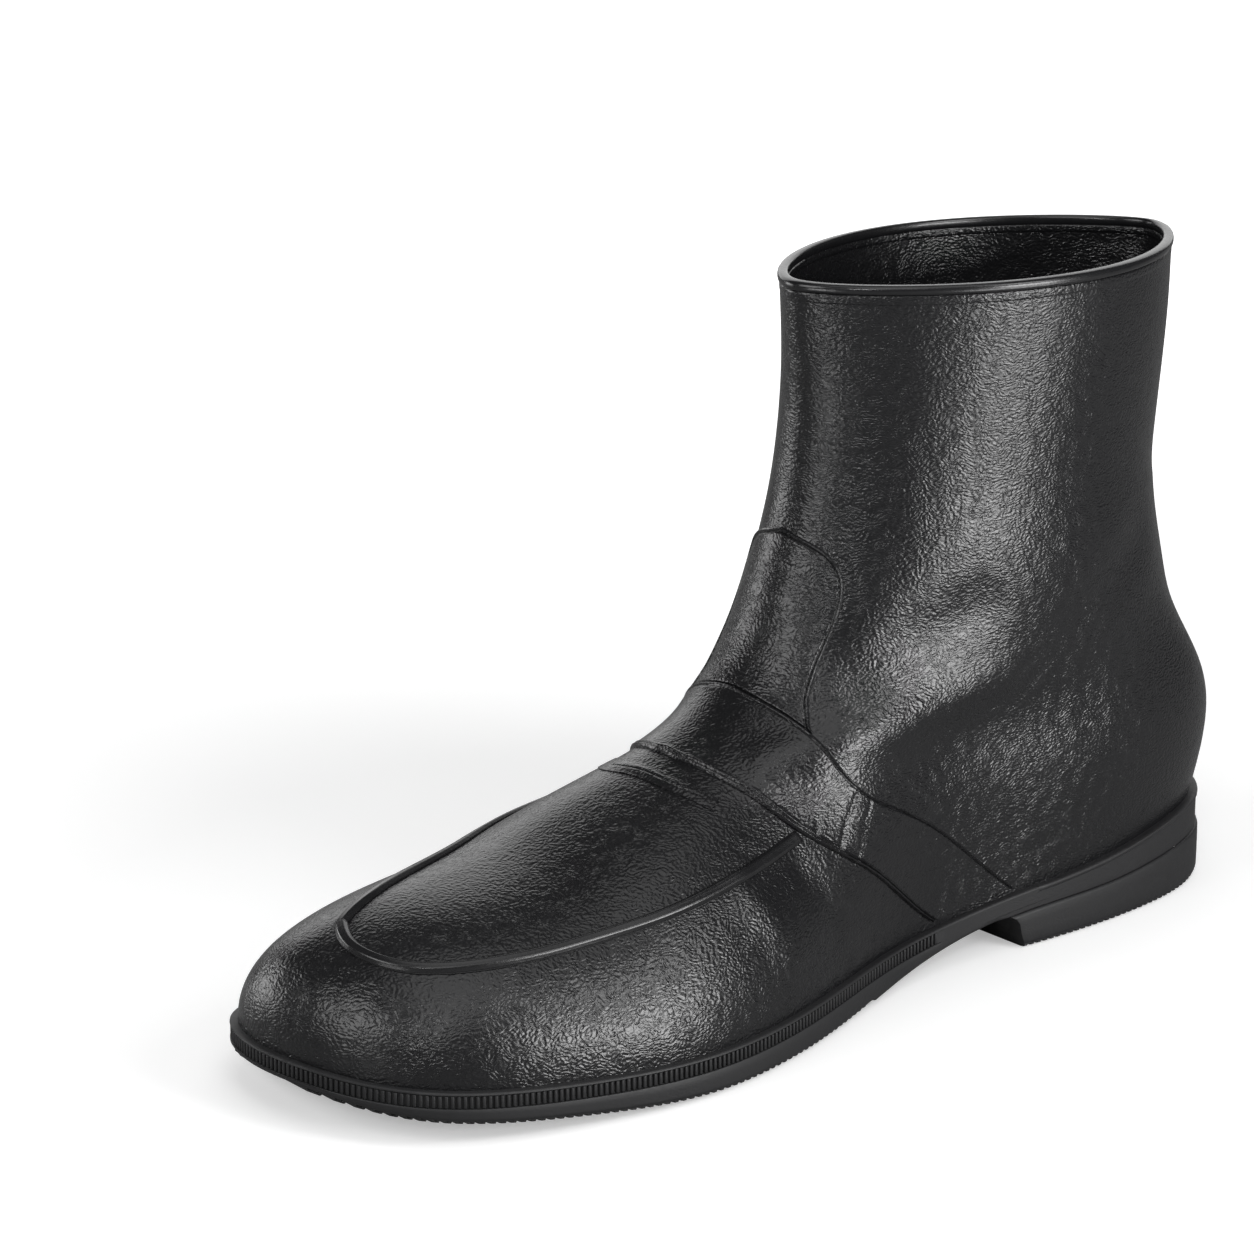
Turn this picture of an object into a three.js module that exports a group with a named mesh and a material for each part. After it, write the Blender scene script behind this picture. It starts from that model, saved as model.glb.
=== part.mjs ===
// A left-foot rubber overshoe, ankle high, moulded to look like a slip-on shoe with an instep saddle.
// Millimetres, +Z up. The toe points to -Y and the outer side of the foot to +X.
import * as THREE from "three";

const { clamp, lerp, smoothstep } = THREE.MathUtils;

// Driving sizes
const SOLE_LENGTH = 309; // outsole, heel to toe
const BALL_WIDTH = 104; // upper across the ball of the foot, at the feather line
const SHAFT_WIDTH = 79; // upper across the shaft at its rim
const SEAT_HEIGHT = 24.5; // feather line above the floor at the back of the heel
const INSTEP_HEIGHT = 118; // top of the tongue, where the shaft begins
const RIM_HEIGHT = 180.5; // top of the rubber wall, under the rim binding
const WALL = 2.2; // rubber wall of the upper
const FLOOR_PLATE = 3; // rubber under the foot
const WELT = 2; // how far the sole stands out past the upper
const GAP = 0.4; // clearance between stacked pieces
const SKIN_GAP = 0.5; // clearance between the upper and what is laid on it
const BINDING_HEIGHT = 3.2; // rim binding
const BINDING_PROUD = 0.7;
const OVERLAY = 1; // thickness of the saddle and the tongue panel
const PIPING_WIDTH = 3; // raised seam round the apron
const PIPING_HEIGHT = 1.2;
const RIB_BAND_HEIGHT = 4.6; // ribbed band round the forepart
const HEEL_LIP_HEIGHT = 2.2; // plain lip round the heel
const STRIP_THICKNESS = 1.5; // both, let into the outsole
const STRIP_END = 0.2; // clearance at their ends, in columns
const SOLE_BEVEL = 1.2;
const HEEL_LENGTH = 94;
const HEEL_BREAST_LEAN = 5;
const HEEL_FLARE = 1.2; // how far the heel block stands out past the outsole at its widest
const HEEL_FLARE_HEIGHT = 6;
const HEEL_ROUNDING = 1.4; // round its lower edge
const TAPE_WIDTH = 4; // seam tape on the inner side
const TAPE_THICKNESS = 0.9;

// Mesh fineness
const RINGS = 24;
const RIBS = 32; // on each side
const HEEL_COLUMNS = 16;

const HALF_BALL = BALL_WIDTH / 2;
const HEEL_BACK = WELT;
const TOE_TIP = SOLE_LENGTH - WELT;
const FOOT_LENGTH = TOE_TIP - HEEL_BACK;

// Plan of the feather line. at: share of the foot length from the heel. lateral, medial and centre:
// shares of half the ball width.
const FOOTPRINT = [
  { at: 0.0, lateral: 0.0, medial: 0.0, centre: 0.0 },
  { at: 0.05, lateral: 0.44, medial: 0.43, centre: 0.0 },
  { at: 0.13, lateral: 0.57, medial: 0.55, centre: 0.0 },
  { at: 0.27, lateral: 0.61, medial: 0.59, centre: 0.0 },
  { at: 0.35, lateral: 0.6, medial: 0.58, centre: 0.0 },
  { at: 0.42, lateral: 0.65, medial: 0.6, centre: 0.0 },
  { at: 0.56, lateral: 0.92, medial: 0.74, centre: 0.0 },
  { at: 0.7, lateral: 1.09, medial: 0.89, centre: 0.0 },
  { at: 0.82, lateral: 1.02, medial: 0.88, centre: -0.01 },
  { at: 0.92, lateral: 0.86, medial: 0.68, centre: -0.035 },
  { at: 0.975, lateral: 0.58, medial: 0.45, centre: -0.065 },
  { at: 1.0, lateral: 0.0, medial: 0.0, centre: -0.08 },
];

// Side view of the sole. feather: height of its top edge, and tread: height of its underside, as shares of
// the seat height.
const SOLE = [
  { at: 0.0, feather: 1.0, tread: 0.6 },
  { at: 0.07, feather: 0.94, tread: 0.56 },
  { at: 0.165, feather: 0.775, tread: 0.47 },
  { at: 0.29, feather: 0.635, tread: 0.41 },
  { at: 0.37, feather: 0.53, tread: 0.26 },
  { at: 0.48, feather: 0.47, tread: 0.05 },
  { at: 0.6, feather: 0.445, tread: 0.0 },
  { at: 0.73, feather: 0.445, tread: 0.02 },
  { at: 0.82, feather: 0.48, tread: 0.1 },
  { at: 0.905, feather: 0.547, tread: 0.2 },
  { at: 0.955, feather: 0.6, tread: 0.28 },
  { at: 1.0, feather: 0.67, tread: 0.41 },
];

// Front line of the upper from the toe tip to the rim. at: share of the foot length from the heel.
// up: 0 at the floor, 1 at the top of the tongue, 2 at the rim.
const RIDGE = [
  { at: 1.0, up: 0.139 },
  { at: 0.997, up: 0.21 },
  { at: 0.982, up: 0.28 },
  { at: 0.954, up: 0.34 },
  { at: 0.905, up: 0.385 },
  { at: 0.83, up: 0.41 },
  { at: 0.757, up: 0.437 },
  { at: 0.697, up: 0.487 },
  { at: 0.632, up: 0.541 },
  { at: 0.575, up: 0.592 },
  { at: 0.537, up: 0.655 },
  { at: 0.509, up: 0.75 },
  { at: 0.49, up: 0.87 },
  { at: 0.472, up: 1.01 },
  { at: 0.46, up: 1.3 },
  { at: 0.456, up: 1.65 },
  { at: 0.462, up: 2.0 },
];

// Back line of the heel and shaft. back: share of the foot length past the heel end, inwards.
const BACK = [
  { up: 0.2, back: -0.005 },
  { up: 0.34, back: -0.021 },
  { up: 0.44, back: -0.022 },
  { up: 0.53, back: -0.009 },
  { up: 0.61, back: 0.01 },
  { up: 0.7, back: 0.029 },
  { up: 0.8, back: 0.039 },
  { up: 0.9, back: 0.047 },
  { up: 1.0, back: 0.053 },
  { up: 1.22, back: 0.052 },
  { up: 1.5, back: 0.044 },
  { up: 1.8, back: 0.036 },
  { up: 2.0, back: 0.033 },
];

// Level sections of the shaft. width: share of the rim's width. point: 0 for an ellipse, 1 for a sharp lens.
const SHAFT = [
  { up: 0.3, width: 0.98, point: 0.0 },
  { up: 0.7, width: 0.96, point: 0.05 },
  { up: 1.0, width: 0.92, point: 0.1 },
  { up: 1.4, width: 0.93, point: 0.2 },
  { up: 2.0, width: 1.0, point: 0.45 },
];

// Upright sections of the foot. wall: how upright the sides start. crown: how flat the top is, and inner: the
// same on the medial side.
const SECTION = [
  { at: 0.0, wall: 2.0, crown: 2.0, inner: 2.0 },
  { at: 0.45, wall: 1.9, crown: 2.0, inner: 2.0 },
  { at: 0.6, wall: 1.9, crown: 2.0, inner: 2.0 },
  { at: 0.75, wall: 2.0, crown: 2.2, inner: 1.95 },
  { at: 0.9, wall: 2.1, crown: 2.2, inner: 1.75 },
  { at: 1.0, wall: 2.1, crown: 2.1, inner: 1.8 },
];

// Soft hollows and swells of the wall. at and up: centre. along and tall: reach. swell: share of half the ball width.
const SWELLS = [
  { side: 1, at: 0.16, up: 0.42, along: 0.17, tall: 0.28, swell: 0.08 },
  { side: -1, at: 0.16, up: 0.42, along: 0.17, tall: 0.28, swell: 0.08 },
];

// Seams on the upper. round: 0 at the front line, 1 at the back line, negative on the medial side. up: 0 at the
// feather line, 1 at the rim. The saddle and the tongue are given for one side and mirrored.
const SADDLE_FRONT = [
  { round: 0.0, up: 0.525 },
  { round: 0.13, up: 0.49 },
  { round: 0.23, up: 0.435 },
  { round: 0.31, up: 0.362 },
  { round: 0.385, up: 0.272 },
  { round: 0.445, up: 0.185 },
  { round: 0.5, up: 0.105 },
  { round: 0.575, up: 0.0 },
];
const SADDLE_BACK = [
  { round: 0.0, up: 0.617 },
  { round: 0.12, up: 0.595 },
  { round: 0.24, up: 0.535 },
  { round: 0.37, up: 0.402 },
  { round: 0.445, up: 0.302 },
  { round: 0.51, up: 0.203 },
  { round: 0.57, up: 0.115 },
  { round: 0.642, up: 0.0 },
];
const TONGUE_EDGE = [
  { round: 0.0, up: 0.775 },
  { round: 0.07, up: 0.766 },
  { round: 0.135, up: 0.75 },
  { round: 0.177, up: 0.728 },
  { round: 0.187, up: 0.702 },
  { round: 0.178, up: 0.672 },
  { round: 0.163, up: 0.643 },
  { round: 0.158, up: 0.622 },
];
const TONGUE_FOOT = [
  { round: 0.0, up: 0.6235 },
  { round: 0.06, up: 0.618 },
  { round: 0.12, up: 0.603 },
  { round: 0.163, up: 0.584 },
];
const APRON_SEAM = [
  { round: -0.338, up: 0.318 },
  { round: -0.31, up: 0.283 },
  { round: -0.28, up: 0.258 },
  { round: -0.24, up: 0.235 },
  { round: -0.2, up: 0.22 },
  { round: -0.15, up: 0.207 },
  { round: -0.1, up: 0.19 },
  { round: -0.06, up: 0.17 },
  { round: -0.025, up: 0.146 },
  { round: 0.0, up: 0.127 },
  { round: 0.03, up: 0.11 },
  { round: 0.065, up: 0.1 },
  { round: 0.11, up: 0.097 },
  { round: 0.16, up: 0.1 },
  { round: 0.21, up: 0.112 },
  { round: 0.258, up: 0.135 },
  { round: 0.3, up: 0.163 },
  { round: 0.33, up: 0.198 },
  { round: 0.353, up: 0.23 },
  { round: 0.375, up: 0.258 },
];
const TAPE_LINE = [
  { round: -0.355, up: 0.985 },
  { round: -0.342, up: 0.85 },
  { round: -0.345, up: 0.72 },
  { round: -0.362, up: 0.6 },
  { round: -0.41, up: 0.47 },
  { round: -0.452, up: 0.345 },
];

// A natural cubic spline through one column of a table, as a function of another column.
function spline(table, key, column) {
  const x = table.map((row) => row[key]);
  const y = table.map((row) => row[column]);
  const n = x.length;
  const bend = new Array(n).fill(0);
  const carry = new Array(n).fill(0);
  for (let i = 1; i < n - 1; i++) {
    const before = x[i] - x[i - 1];
    const share = before / (x[i + 1] - x[i - 1]);
    const pivot = share * bend[i - 1] + 2;
    const turn = (y[i + 1] - y[i]) / (x[i + 1] - x[i]) - (y[i] - y[i - 1]) / before;
    bend[i] = (share - 1) / pivot;
    carry[i] = ((6 * turn) / (x[i + 1] - x[i - 1]) - share * carry[i - 1]) / pivot;
  }
  bend[n - 1] = 0;
  for (let i = n - 2; i >= 0; i--) bend[i] = bend[i] * bend[i + 1] + carry[i];
  return (at) => {
    let i = 0;
    while (i < n - 2 && at > x[i + 1]) i++;
    const run = x[i + 1] - x[i];
    const a = (x[i + 1] - at) / run;
    const b = (at - x[i]) / run;
    const curve = ((a ** 3 - a) * bend[i] + (b ** 3 - b) * bend[i + 1]) * (run * run) / 6;
    return a * y[i] + b * y[i + 1] + curve;
  };
}

// Height above the floor of an "up" share: 0 floor, 1 top of the tongue, 2 rim.
const heightOf = (up) => (up < 1 ? up * INSTEP_HEIGHT : lerp(INSTEP_HEIGHT, RIM_HEIGHT, up - 1));
const upOf = (z) => (z < INSTEP_HEIGHT ? z / INSTEP_HEIGHT : 1 + (z - INSTEP_HEIGHT) / (RIM_HEIGHT - INSTEP_HEIGHT));
const stationOf = (at) => HEEL_BACK + at * FOOT_LENGTH;

// The footprint is read by angle, which rounds both of its ends.
const angleOf = (at) => Math.acos(1 - 2 * clamp(at, 0, 1)) / Math.PI;
const footprintByAngle = FOOTPRINT.map((row) => ({ ...row, angle: angleOf(row.at) }));
const lateralPlan = spline(footprintByAngle, "angle", "lateral");
const medialPlan = spline(footprintByAngle, "angle", "medial");
const centrePlan = spline(FOOTPRINT, "at", "centre");
const featherPlan = spline(SOLE, "at", "feather");
const treadPlan = spline(SOLE, "at", "tread");
const wallPlan = spline(SECTION, "at", "wall");
const crownPlan = spline(SECTION, "at", "crown");
const innerCrownPlan = spline(SECTION, "at", "inner");
const backPlan = spline(BACK, "up", "back");
const shaftWidthPlan = spline(SHAFT, "up", "width");
const shaftPointPlan = spline(SHAFT, "up", "point");

const featherHeight = (s) => SEAT_HEIGHT * featherPlan(clamp((s - HEEL_BACK) / FOOT_LENGTH, 0, 1));
const backStation = (z) => HEEL_BACK + FOOT_LENGTH * backPlan(upOf(z));

// A fine polyline with its running length, through rows of station and height.
function profileLine(points) {
  let run = 0;
  return points.map((p, i) => {
    if (i) run += Math.hypot(p.s - points[i - 1].s, p.z - points[i - 1].z);
    return { ...p, run };
  });
}

// Linear reading of a polyline, whose key column grows from its first point to its last.
function readLine(line, key, column, value) {
  let low = 0;
  let high = line.length - 1;
  while (high - low > 1) {
    const mid = (low + high) >> 1;
    if (line[mid][key] < value) low = mid;
    else high = mid;
  }
  const t = (value - line[low][key]) / (line[high][key] - line[low][key]);
  return lerp(line[low][column], line[high][column], clamp(t, 0, 1));
}

const LINE_STEPS = 1200;
const ridgeRows = profileLine(RIDGE.map((row) => ({ s: stationOf(row.at), z: heightOf(row.up) })));
const ridgeEnd = ridgeRows[ridgeRows.length - 1].run;
const ridgeS = spline(ridgeRows, "run", "s");
const ridgeZ = spline(ridgeRows, "run", "z");
const ridge = profileLine(
  Array.from({ length: LINE_STEPS + 1 }, (_, i) => {
    const run = (ridgeEnd * i) / LINE_STEPS;
    return { s: ridgeS(run), z: ridgeZ(run) };
  }),
);
const rear = profileLine(
  Array.from({ length: LINE_STEPS + 1 }, (_, i) => {
    const z = lerp(SEAT_HEIGHT, RIM_HEIGHT, i / LINE_STEPS);
    return { s: backStation(z), z };
  }),
);
const frontStation = (z) => readLine(ridge, "z", "s", z);

// Height of the vamp's top over a station. Behind the bend of the instep it climbs away, clear of the shaft.
const BEND_HEIGHT = 0.95 * INSTEP_HEIGHT;
const bendIndex = ridge.findIndex((p) => p.z > BEND_HEIGHT);
const bend = ridge[bendIndex];
const bendSlope = (ridge[bendIndex + 1].z - bend.z) / (bend.s - ridge[bendIndex + 1].s);
const BEND_CLIMB = 0.16;
const vampLine = ridge.slice(0, bendIndex + 1).reverse().map((p) => ({ ...p }));
function vampHeight(s) {
  if (s >= bend.s) return readLine(vampLine, "s", "z", s);
  const past = bend.s - s;
  return bend.z + bendSlope * past + BEND_CLIMB * past * past;
}

// Half width of the upper at a station and height, on one side.
const SHAFT_STARTS = 0.48;
const SHAFT_RULES = 0.95;
function halfWidth(s, z, side) {
  const back = backStation(z);
  const at = clamp((s - back) / (TOE_TIP - back), 0, 1);
  const plan = (side > 0 ? lateralPlan : medialPlan)(angleOf(at)) * HALF_BALL;
  const feather = featherHeight(s);
  const rise = clamp((z - feather) / (vampHeight(s) - feather), 0, 1);
  const crown = (side > 0 ? crownPlan : innerCrownPlan)(at);
  const foot = plan * (1 - rise ** wallPlan(at)) ** (1 / crown);
  const up = upOf(z);
  const front = frontStation(z);
  const across = Math.sqrt(clamp(4 * (s - back) * (front - s), 0, Infinity)) / (front - back);
  const point = clamp(shaftPointPlan(up), 0, 1);
  const shaft = (SHAFT_WIDTH / 2) * shaftWidthPlan(up) * lerp(across, across * across, point);
  const blend = smoothstep(up, SHAFT_STARTS, SHAFT_RULES);
  const width = lerp(foot, shaft, blend);
  const hold = width / (width + 0.2 * HALF_BALL);
  let swell = 0;
  for (const row of SWELLS) {
    if (row.side !== side) continue;
    const along = ((s - stationOf(row.at)) / (row.along * FOOT_LENGTH)) ** 2;
    const tall = ((z - heightOf(row.up)) / (row.tall * INSTEP_HEIGHT)) ** 2;
    swell += row.swell * HALF_BALL * Math.exp(-along - tall);
  }
  return width + swell * hold;
}

const centreLine = (s, z) => {
  const fade = 1 - smoothstep(upOf(z), SHAFT_STARTS, SHAFT_RULES);
  return HALF_BALL * centrePlan(clamp((s - HEEL_BACK) / FOOT_LENGTH, 0, 1)) * fade;
};

// A point of the upper's outer face. round: 0 front line, 1 or -1 back line, + lateral, - medial.
// up: 0 feather line, 1 rim. Each level ring runs from the front line to the back line.
function ringPoint(up, round) {
  const front = {
    s: readLine(ridge, "run", "s", up * ridge[LINE_STEPS].run),
    z: readLine(ridge, "run", "z", up * ridge[LINE_STEPS].run),
  };
  const back = {
    s: readLine(rear, "run", "s", up * rear[LINE_STEPS].run),
    z: readLine(rear, "run", "z", up * rear[LINE_STEPS].run),
  };
  const share = (1 + Math.cos(Math.PI * round)) / 2;
  const s = lerp(back.s, front.s, share);
  const sag = (1 - up) ** 2;
  const straight = lerp(featherHeight(HEEL_BACK), featherHeight(TOE_TIP), share);
  const level = featherHeight(lerp(HEEL_BACK, TOE_TIP, share)) - straight;
  return { s, z: lerp(back.z, front.z, share) + sag * level };
}

function outerPoint(up, round) {
  const { s, z } = ringPoint(up, round);
  const side = round < 0 ? -1 : 1;
  const ends = round === 0 || Math.abs(round) === 1;
  const x = centreLine(s, z) + (ends ? 0 : side * halfWidth(s, z, side));
  return new THREE.Vector3(x, SOLE_LENGTH / 2 - s, z);
}

// The outward normal, from small steps round and up.
const STEP = 0.004;
function outerNormal(up, round) {
  const wrap = (r) => (r > 1 ? r - 2 : r < -1 ? r + 2 : r);
  const low = clamp(up - STEP, 0, 1);
  const high = clamp(up + STEP, 0, 1);
  const rise = outerPoint(high, round).sub(outerPoint(low, round));
  const turn = outerPoint(up, wrap(round + STEP)).sub(outerPoint(up, wrap(round - STEP)));
  return turn.cross(rise).normalize();
}

const offsetPoint = (up, round, out) => outerPoint(up, round).addScaledVector(outerNormal(up, round), out);

// A closed mesh from vertices and faces of three or four corners.
class Shell {
  constructor() {
    this.points = [];
    this.faces = [];
  }
  add(point) {
    return this.points.push(point) - 1;
  }
  // Four corners, split along the shorter diagonal.
  quad(a, b, c, d) {
    const [p, q, r, s] = [a, b, c, d].map((corner) => this.points[corner]);
    if (p.distanceTo(r) <= q.distanceTo(s)) this.faces.push([a, b, c], [a, c, d]);
    else this.faces.push([a, b, d], [b, c, d]);
  }
  triangle(a, b, c) {
    this.faces.push([a, b, c]);
  }
  geometry() {
    const made = new THREE.BufferGeometry().setFromPoints(this.points);
    made.setIndex(this.faces.flat());
    made.computeVertexNormals();
    return made;
  }
}

// Rubber materials
const rubber = (shade, roughness) => new THREE.MeshStandardMaterial({ color: shade, roughness, metalness: 0 });
const SHADE = { upper: 0x17171a, trim: 0x141416, sole: 0x1b1b1d };

const boot = new THREE.Group();
function piece(name, shell, shade, roughness) {
  const mesh = new THREE.Mesh(shell.geometry(), rubber(shade, roughness));
  mesh.name = name;
  boot.add(mesh);
}

// Which way round a ring goes: lateral side from front to back, then medial side from back to front.
const roundOf = (i, count) => {
  const r = (2 * i) / count;
  return r <= 1 ? r : r - 2;
};

// The upper: a hollow wall from the floor plate to the rim, closed under the foot.
function upper() {
  const shell = new Shell();
  const count = 2 * RIBS;
  const plateTop = FLOOR_PLATE / rear[LINE_STEPS].run;
  const level = (j, lowest) => lerp(lowest, 1, j / RINGS);
  const rings = (lowest, out) =>
    Array.from({ length: RINGS + 1 }, (_, j) =>
      Array.from({ length: count }, (_, i) => shell.add(offsetPoint(level(j, lowest), roundOf(i, count), out))),
    );
  const outer = rings(0, 0);
  const inner = rings(plateTop, -WALL);
  for (let j = 0; j < RINGS; j++) {
    for (let i = 0; i < count; i++) {
      const n = (i + 1) % count;
      shell.quad(outer[j][i], outer[j][n], outer[j + 1][n], outer[j + 1][i]);
      shell.quad(inner[j][n], inner[j][i], inner[j + 1][i], inner[j + 1][n]);
    }
  }
  for (let i = 0; i < count; i++) {
    const n = (i + 1) % count;
    shell.quad(outer[RINGS][i], outer[RINGS][n], inner[RINGS][n], inner[RINGS][i]);
  }
  closeAcross(shell, outer[0], false);
  closeAcross(shell, inner[0], true);
  piece("upper", shell, SHADE.upper, 0.42);
}

// Closes a ring of the foot by strips from the lateral side to the medial side.
function closeAcross(shell, ring, facesUp) {
  const count = ring.length;
  const half = count / 2;
  for (let i = 0; i < half; i++) {
    const l0 = ring[i];
    const l1 = ring[i + 1];
    const m0 = ring[(count - i) % count];
    const m1 = ring[count - i - 1];
    const corners = [l0, m0, m1, l1].filter((v, k, all) => all.indexOf(v) === k);
    if (facesUp) corners.reverse();
    if (corners.length === 4) shell.quad(...corners);
    else shell.triangle(...corners);
  }
}

// A sheet laid on the upper, from a grid of places, with straight edges all round.
function layer(name, place, alongSteps, acrossSteps) {
  const shell = new Shell();
  const grid = (lift) =>
    Array.from({ length: alongSteps + 1 }, (_, i) =>
      Array.from({ length: acrossSteps + 1 }, (_, j) => {
        const { up, round } = place(i / alongSteps, j / acrossSteps);
        return shell.add(offsetPoint(up, round, lift));
      }),
    );
  const under = grid(SKIN_GAP);
  const over = grid(SKIN_GAP + OVERLAY);
  for (let i = 0; i < alongSteps; i++) {
    for (let j = 0; j < acrossSteps; j++) {
      shell.quad(over[i][j], over[i + 1][j], over[i + 1][j + 1], over[i][j + 1]);
      shell.quad(under[i + 1][j], under[i][j], under[i][j + 1], under[i + 1][j + 1]);
    }
    const last = acrossSteps;
    shell.quad(under[i][0], under[i + 1][0], over[i + 1][0], over[i][0]);
    shell.quad(under[i + 1][last], under[i][last], over[i][last], over[i + 1][last]);
  }
  const end = alongSteps;
  for (let j = 0; j < acrossSteps; j++) {
    shell.quad(under[0][j + 1], under[0][j], over[0][j], over[0][j + 1]);
    shell.quad(under[end][j], under[end][j + 1], over[end][j + 1], over[end][j]);
  }
  piece(name, shell, SHADE.upper, 0.42);
}

// Reads a seam's table along its own length, in both columns: 0 at its first row, 1 at its last.
function seamLine(rows) {
  let run = 0;
  const marked = rows.map((row, i) => {
    if (i) run += Math.hypot(row.round - rows[i - 1].round, row.up - rows[i - 1].up);
    return { ...row, run };
  });
  const round = spline(marked, "run", "round");
  const up = spline(marked, "run", "up");
  return (share) => ({ round: round(share * run), up: up(share * run) });
}

// A half seam and its mirror image in one line: 0 at its medial end, 1 at its lateral end.
function bothSides(rows) {
  const mirrored = rows.slice(1).reverse();
  return seamLine([...mirrored.map((row) => ({ ...row, round: -row.round })), ...rows]);
}

const between = (p, q, share) => ({ up: lerp(p.up, q.up, share), round: lerp(p.round, q.round, share) });
const saddleFront = bothSides(SADDLE_FRONT);
const saddleBack = bothSides(SADDLE_BACK);
const tongueEdge = bothSides(TONGUE_EDGE);
const tongueFoot = bothSides(TONGUE_FOOT);
const apronSeam = seamLine(APRON_SEAM);

// The saddle runs over the instep and ends just above the sole on both sides.
const SADDLE_FOOT = 0.012;
layer(
  "saddle_strap",
  (a, b) => {
    const place = between(saddleFront(a), saddleBack(a), b);
    return { up: Math.max(place.up, SADDLE_FOOT), round: place.round };
  },
  48,
  4,
);
layer("tongue_panel", (a, b) => between(tongueFoot(a), tongueEdge(a), b), 28, 6);

// A rib of constant section swept along the upper, with both ends closed.
// section: across and lift of each corner, going round it once.
function sweep(name, line, steps, section, shade) {
  const shell = new Shell();
  const places = Array.from({ length: steps + 1 }, (_, i) => line(i / steps));
  const spine = places.map(({ up, round }) => outerPoint(up, round));
  const rings = places.map(({ up, round }, i) => {
    const normal = outerNormal(up, round);
    const along = spine[Math.min(i + 1, steps)].clone().sub(spine[Math.max(i - 1, 0)]);
    const across = along.cross(normal).normalize();
    return section.map(([side, lift]) =>
      shell.add(spine[i].clone().addScaledVector(across, side).addScaledVector(normal, lift)),
    );
  });
  const corners = section.length;
  for (let i = 0; i < steps; i++) {
    for (let j = 0; j < corners; j++) {
      const n = (j + 1) % corners;
      shell.quad(rings[i][n], rings[i][j], rings[i + 1][j], rings[i + 1][n]);
    }
  }
  for (let j = 1; j < corners - 1; j++) {
    shell.triangle(rings[0][0], rings[0][j], rings[0][j + 1]);
    shell.triangle(rings[steps][0], rings[steps][j + 1], rings[steps][j]);
  }
  piece(name, shell, shade, 0.42);
}

const half = PIPING_WIDTH / 2;
sweep(
  "apron_piping",
  apronSeam,
  64,
  [
    [-half, SKIN_GAP],
    [half, SKIN_GAP],
    [half, SKIN_GAP + PIPING_HEIGHT / 2],
    [half / 2, SKIN_GAP + PIPING_HEIGHT],
    [-half / 2, SKIN_GAP + PIPING_HEIGHT],
    [-half, SKIN_GAP + PIPING_HEIGHT / 2],
  ],
  SHADE.trim,
);

// Seam tape down the inner side, from under the rim binding to behind the saddle.
const tape = seamLine(TAPE_LINE);
sweep(
  "seam_tape",
  tape,
  14,
  [
    [-TAPE_WIDTH / 2, SKIN_GAP],
    [TAPE_WIDTH / 2, SKIN_GAP],
    [TAPE_WIDTH / 2, SKIN_GAP + TAPE_THICKNESS],
    [-TAPE_WIDTH / 2, SKIN_GAP + TAPE_THICKNESS],
  ],
  SHADE.trim,
);

upper();

// Plan outline of the sole: the feather line moved outwards, level.
const COLUMNS = 2 * RIBS;
function solePoint(round, out, heightAt) {
  const here = outerPoint(0, round);
  const wrap = (r) => (r > 1 ? r - 2 : r < -1 ? r + 2 : r);
  const turn = outerPoint(0, wrap(round + STEP)).sub(outerPoint(0, wrap(round - STEP)));
  const away = new THREE.Vector3(turn.y, -turn.x, 0).normalize();
  if (away.x * round < 0 || (round === 0 && away.y > 0)) away.negate();
  here.addScaledVector(away, out);
  here.z = heightAt(SOLE_LENGTH / 2 - here.y);
  return here;
}

const shareOf = (s) => clamp((s - HEEL_BACK) / FOOT_LENGTH, 0, 1);
const treadHeight = (s) => Math.max(0, SEAT_HEIGHT * treadPlan(shareOf(s)));
const soleTop = (s) => featherHeight(s) - GAP;

// The strips let into the sole's upper edge: the ribbed welt round the forepart, a plain lip round the heel.
// from and to: columns of the sole's outline, counted from the toe tip.
const STRIPS = [
  { name: "welt_strip", from: -18, to: 18, height: RIB_BAND_HEIGHT },
  { name: "heel_lip", from: 21, to: 43, height: HEEL_LIP_HEIGHT },
];
const isUnder = (strip, column) => {
  const turn = column > strip.to ? column - COLUMNS : column;
  return turn >= strip.from && turn <= strip.to;
};

// Lofts a closed solid through rings of equal length, closing both ends by strips across.
function loft(name, rings, shade) {
  const shell = new Shell();
  const placed = rings.map((ring) => ring.map((point) => shell.add(point)));
  for (let j = 0; j < placed.length - 1; j++) {
    for (let i = 0; i < placed[j].length; i++) {
      const n = (i + 1) % placed[j].length;
      shell.quad(placed[j][i], placed[j][n], placed[j + 1][n], placed[j + 1][i]);
    }
  }
  closeAcross(shell, placed[0], false);
  closeAcross(shell, placed[placed.length - 1], true);
  piece(name, shell, shade, 0.6);
}

function outsole() {
  const ring = (outOf, heightOf) =>
    Array.from({ length: COLUMNS }, (_, i) =>
      solePoint(roundOf(i, COLUMNS), outOf(i), (s) => heightOf(s, i)),
    );
  const stripAt = (column) => STRIPS.find((strip) => isUnder(strip, column));
  const depth = (column) => (stripAt(column) ? STRIP_THICKNESS + GAP : 0.2);
  const height = (column) => (stripAt(column) ? stripAt(column).height + GAP : 1);
  const shelf = (s, column) => soleTop(s) - height(column);
  loft(
    "outsole",
    [
      ring(() => WELT - SOLE_BEVEL, treadHeight),
      ring(() => WELT, (s) => treadHeight(s) + SOLE_BEVEL),
      ring(() => WELT, shelf),
      ring((column) => WELT - depth(column), shelf),
      ring((column) => WELT - depth(column), soleTop),
    ],
    SHADE.sole,
  );
}
outsole();

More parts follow.
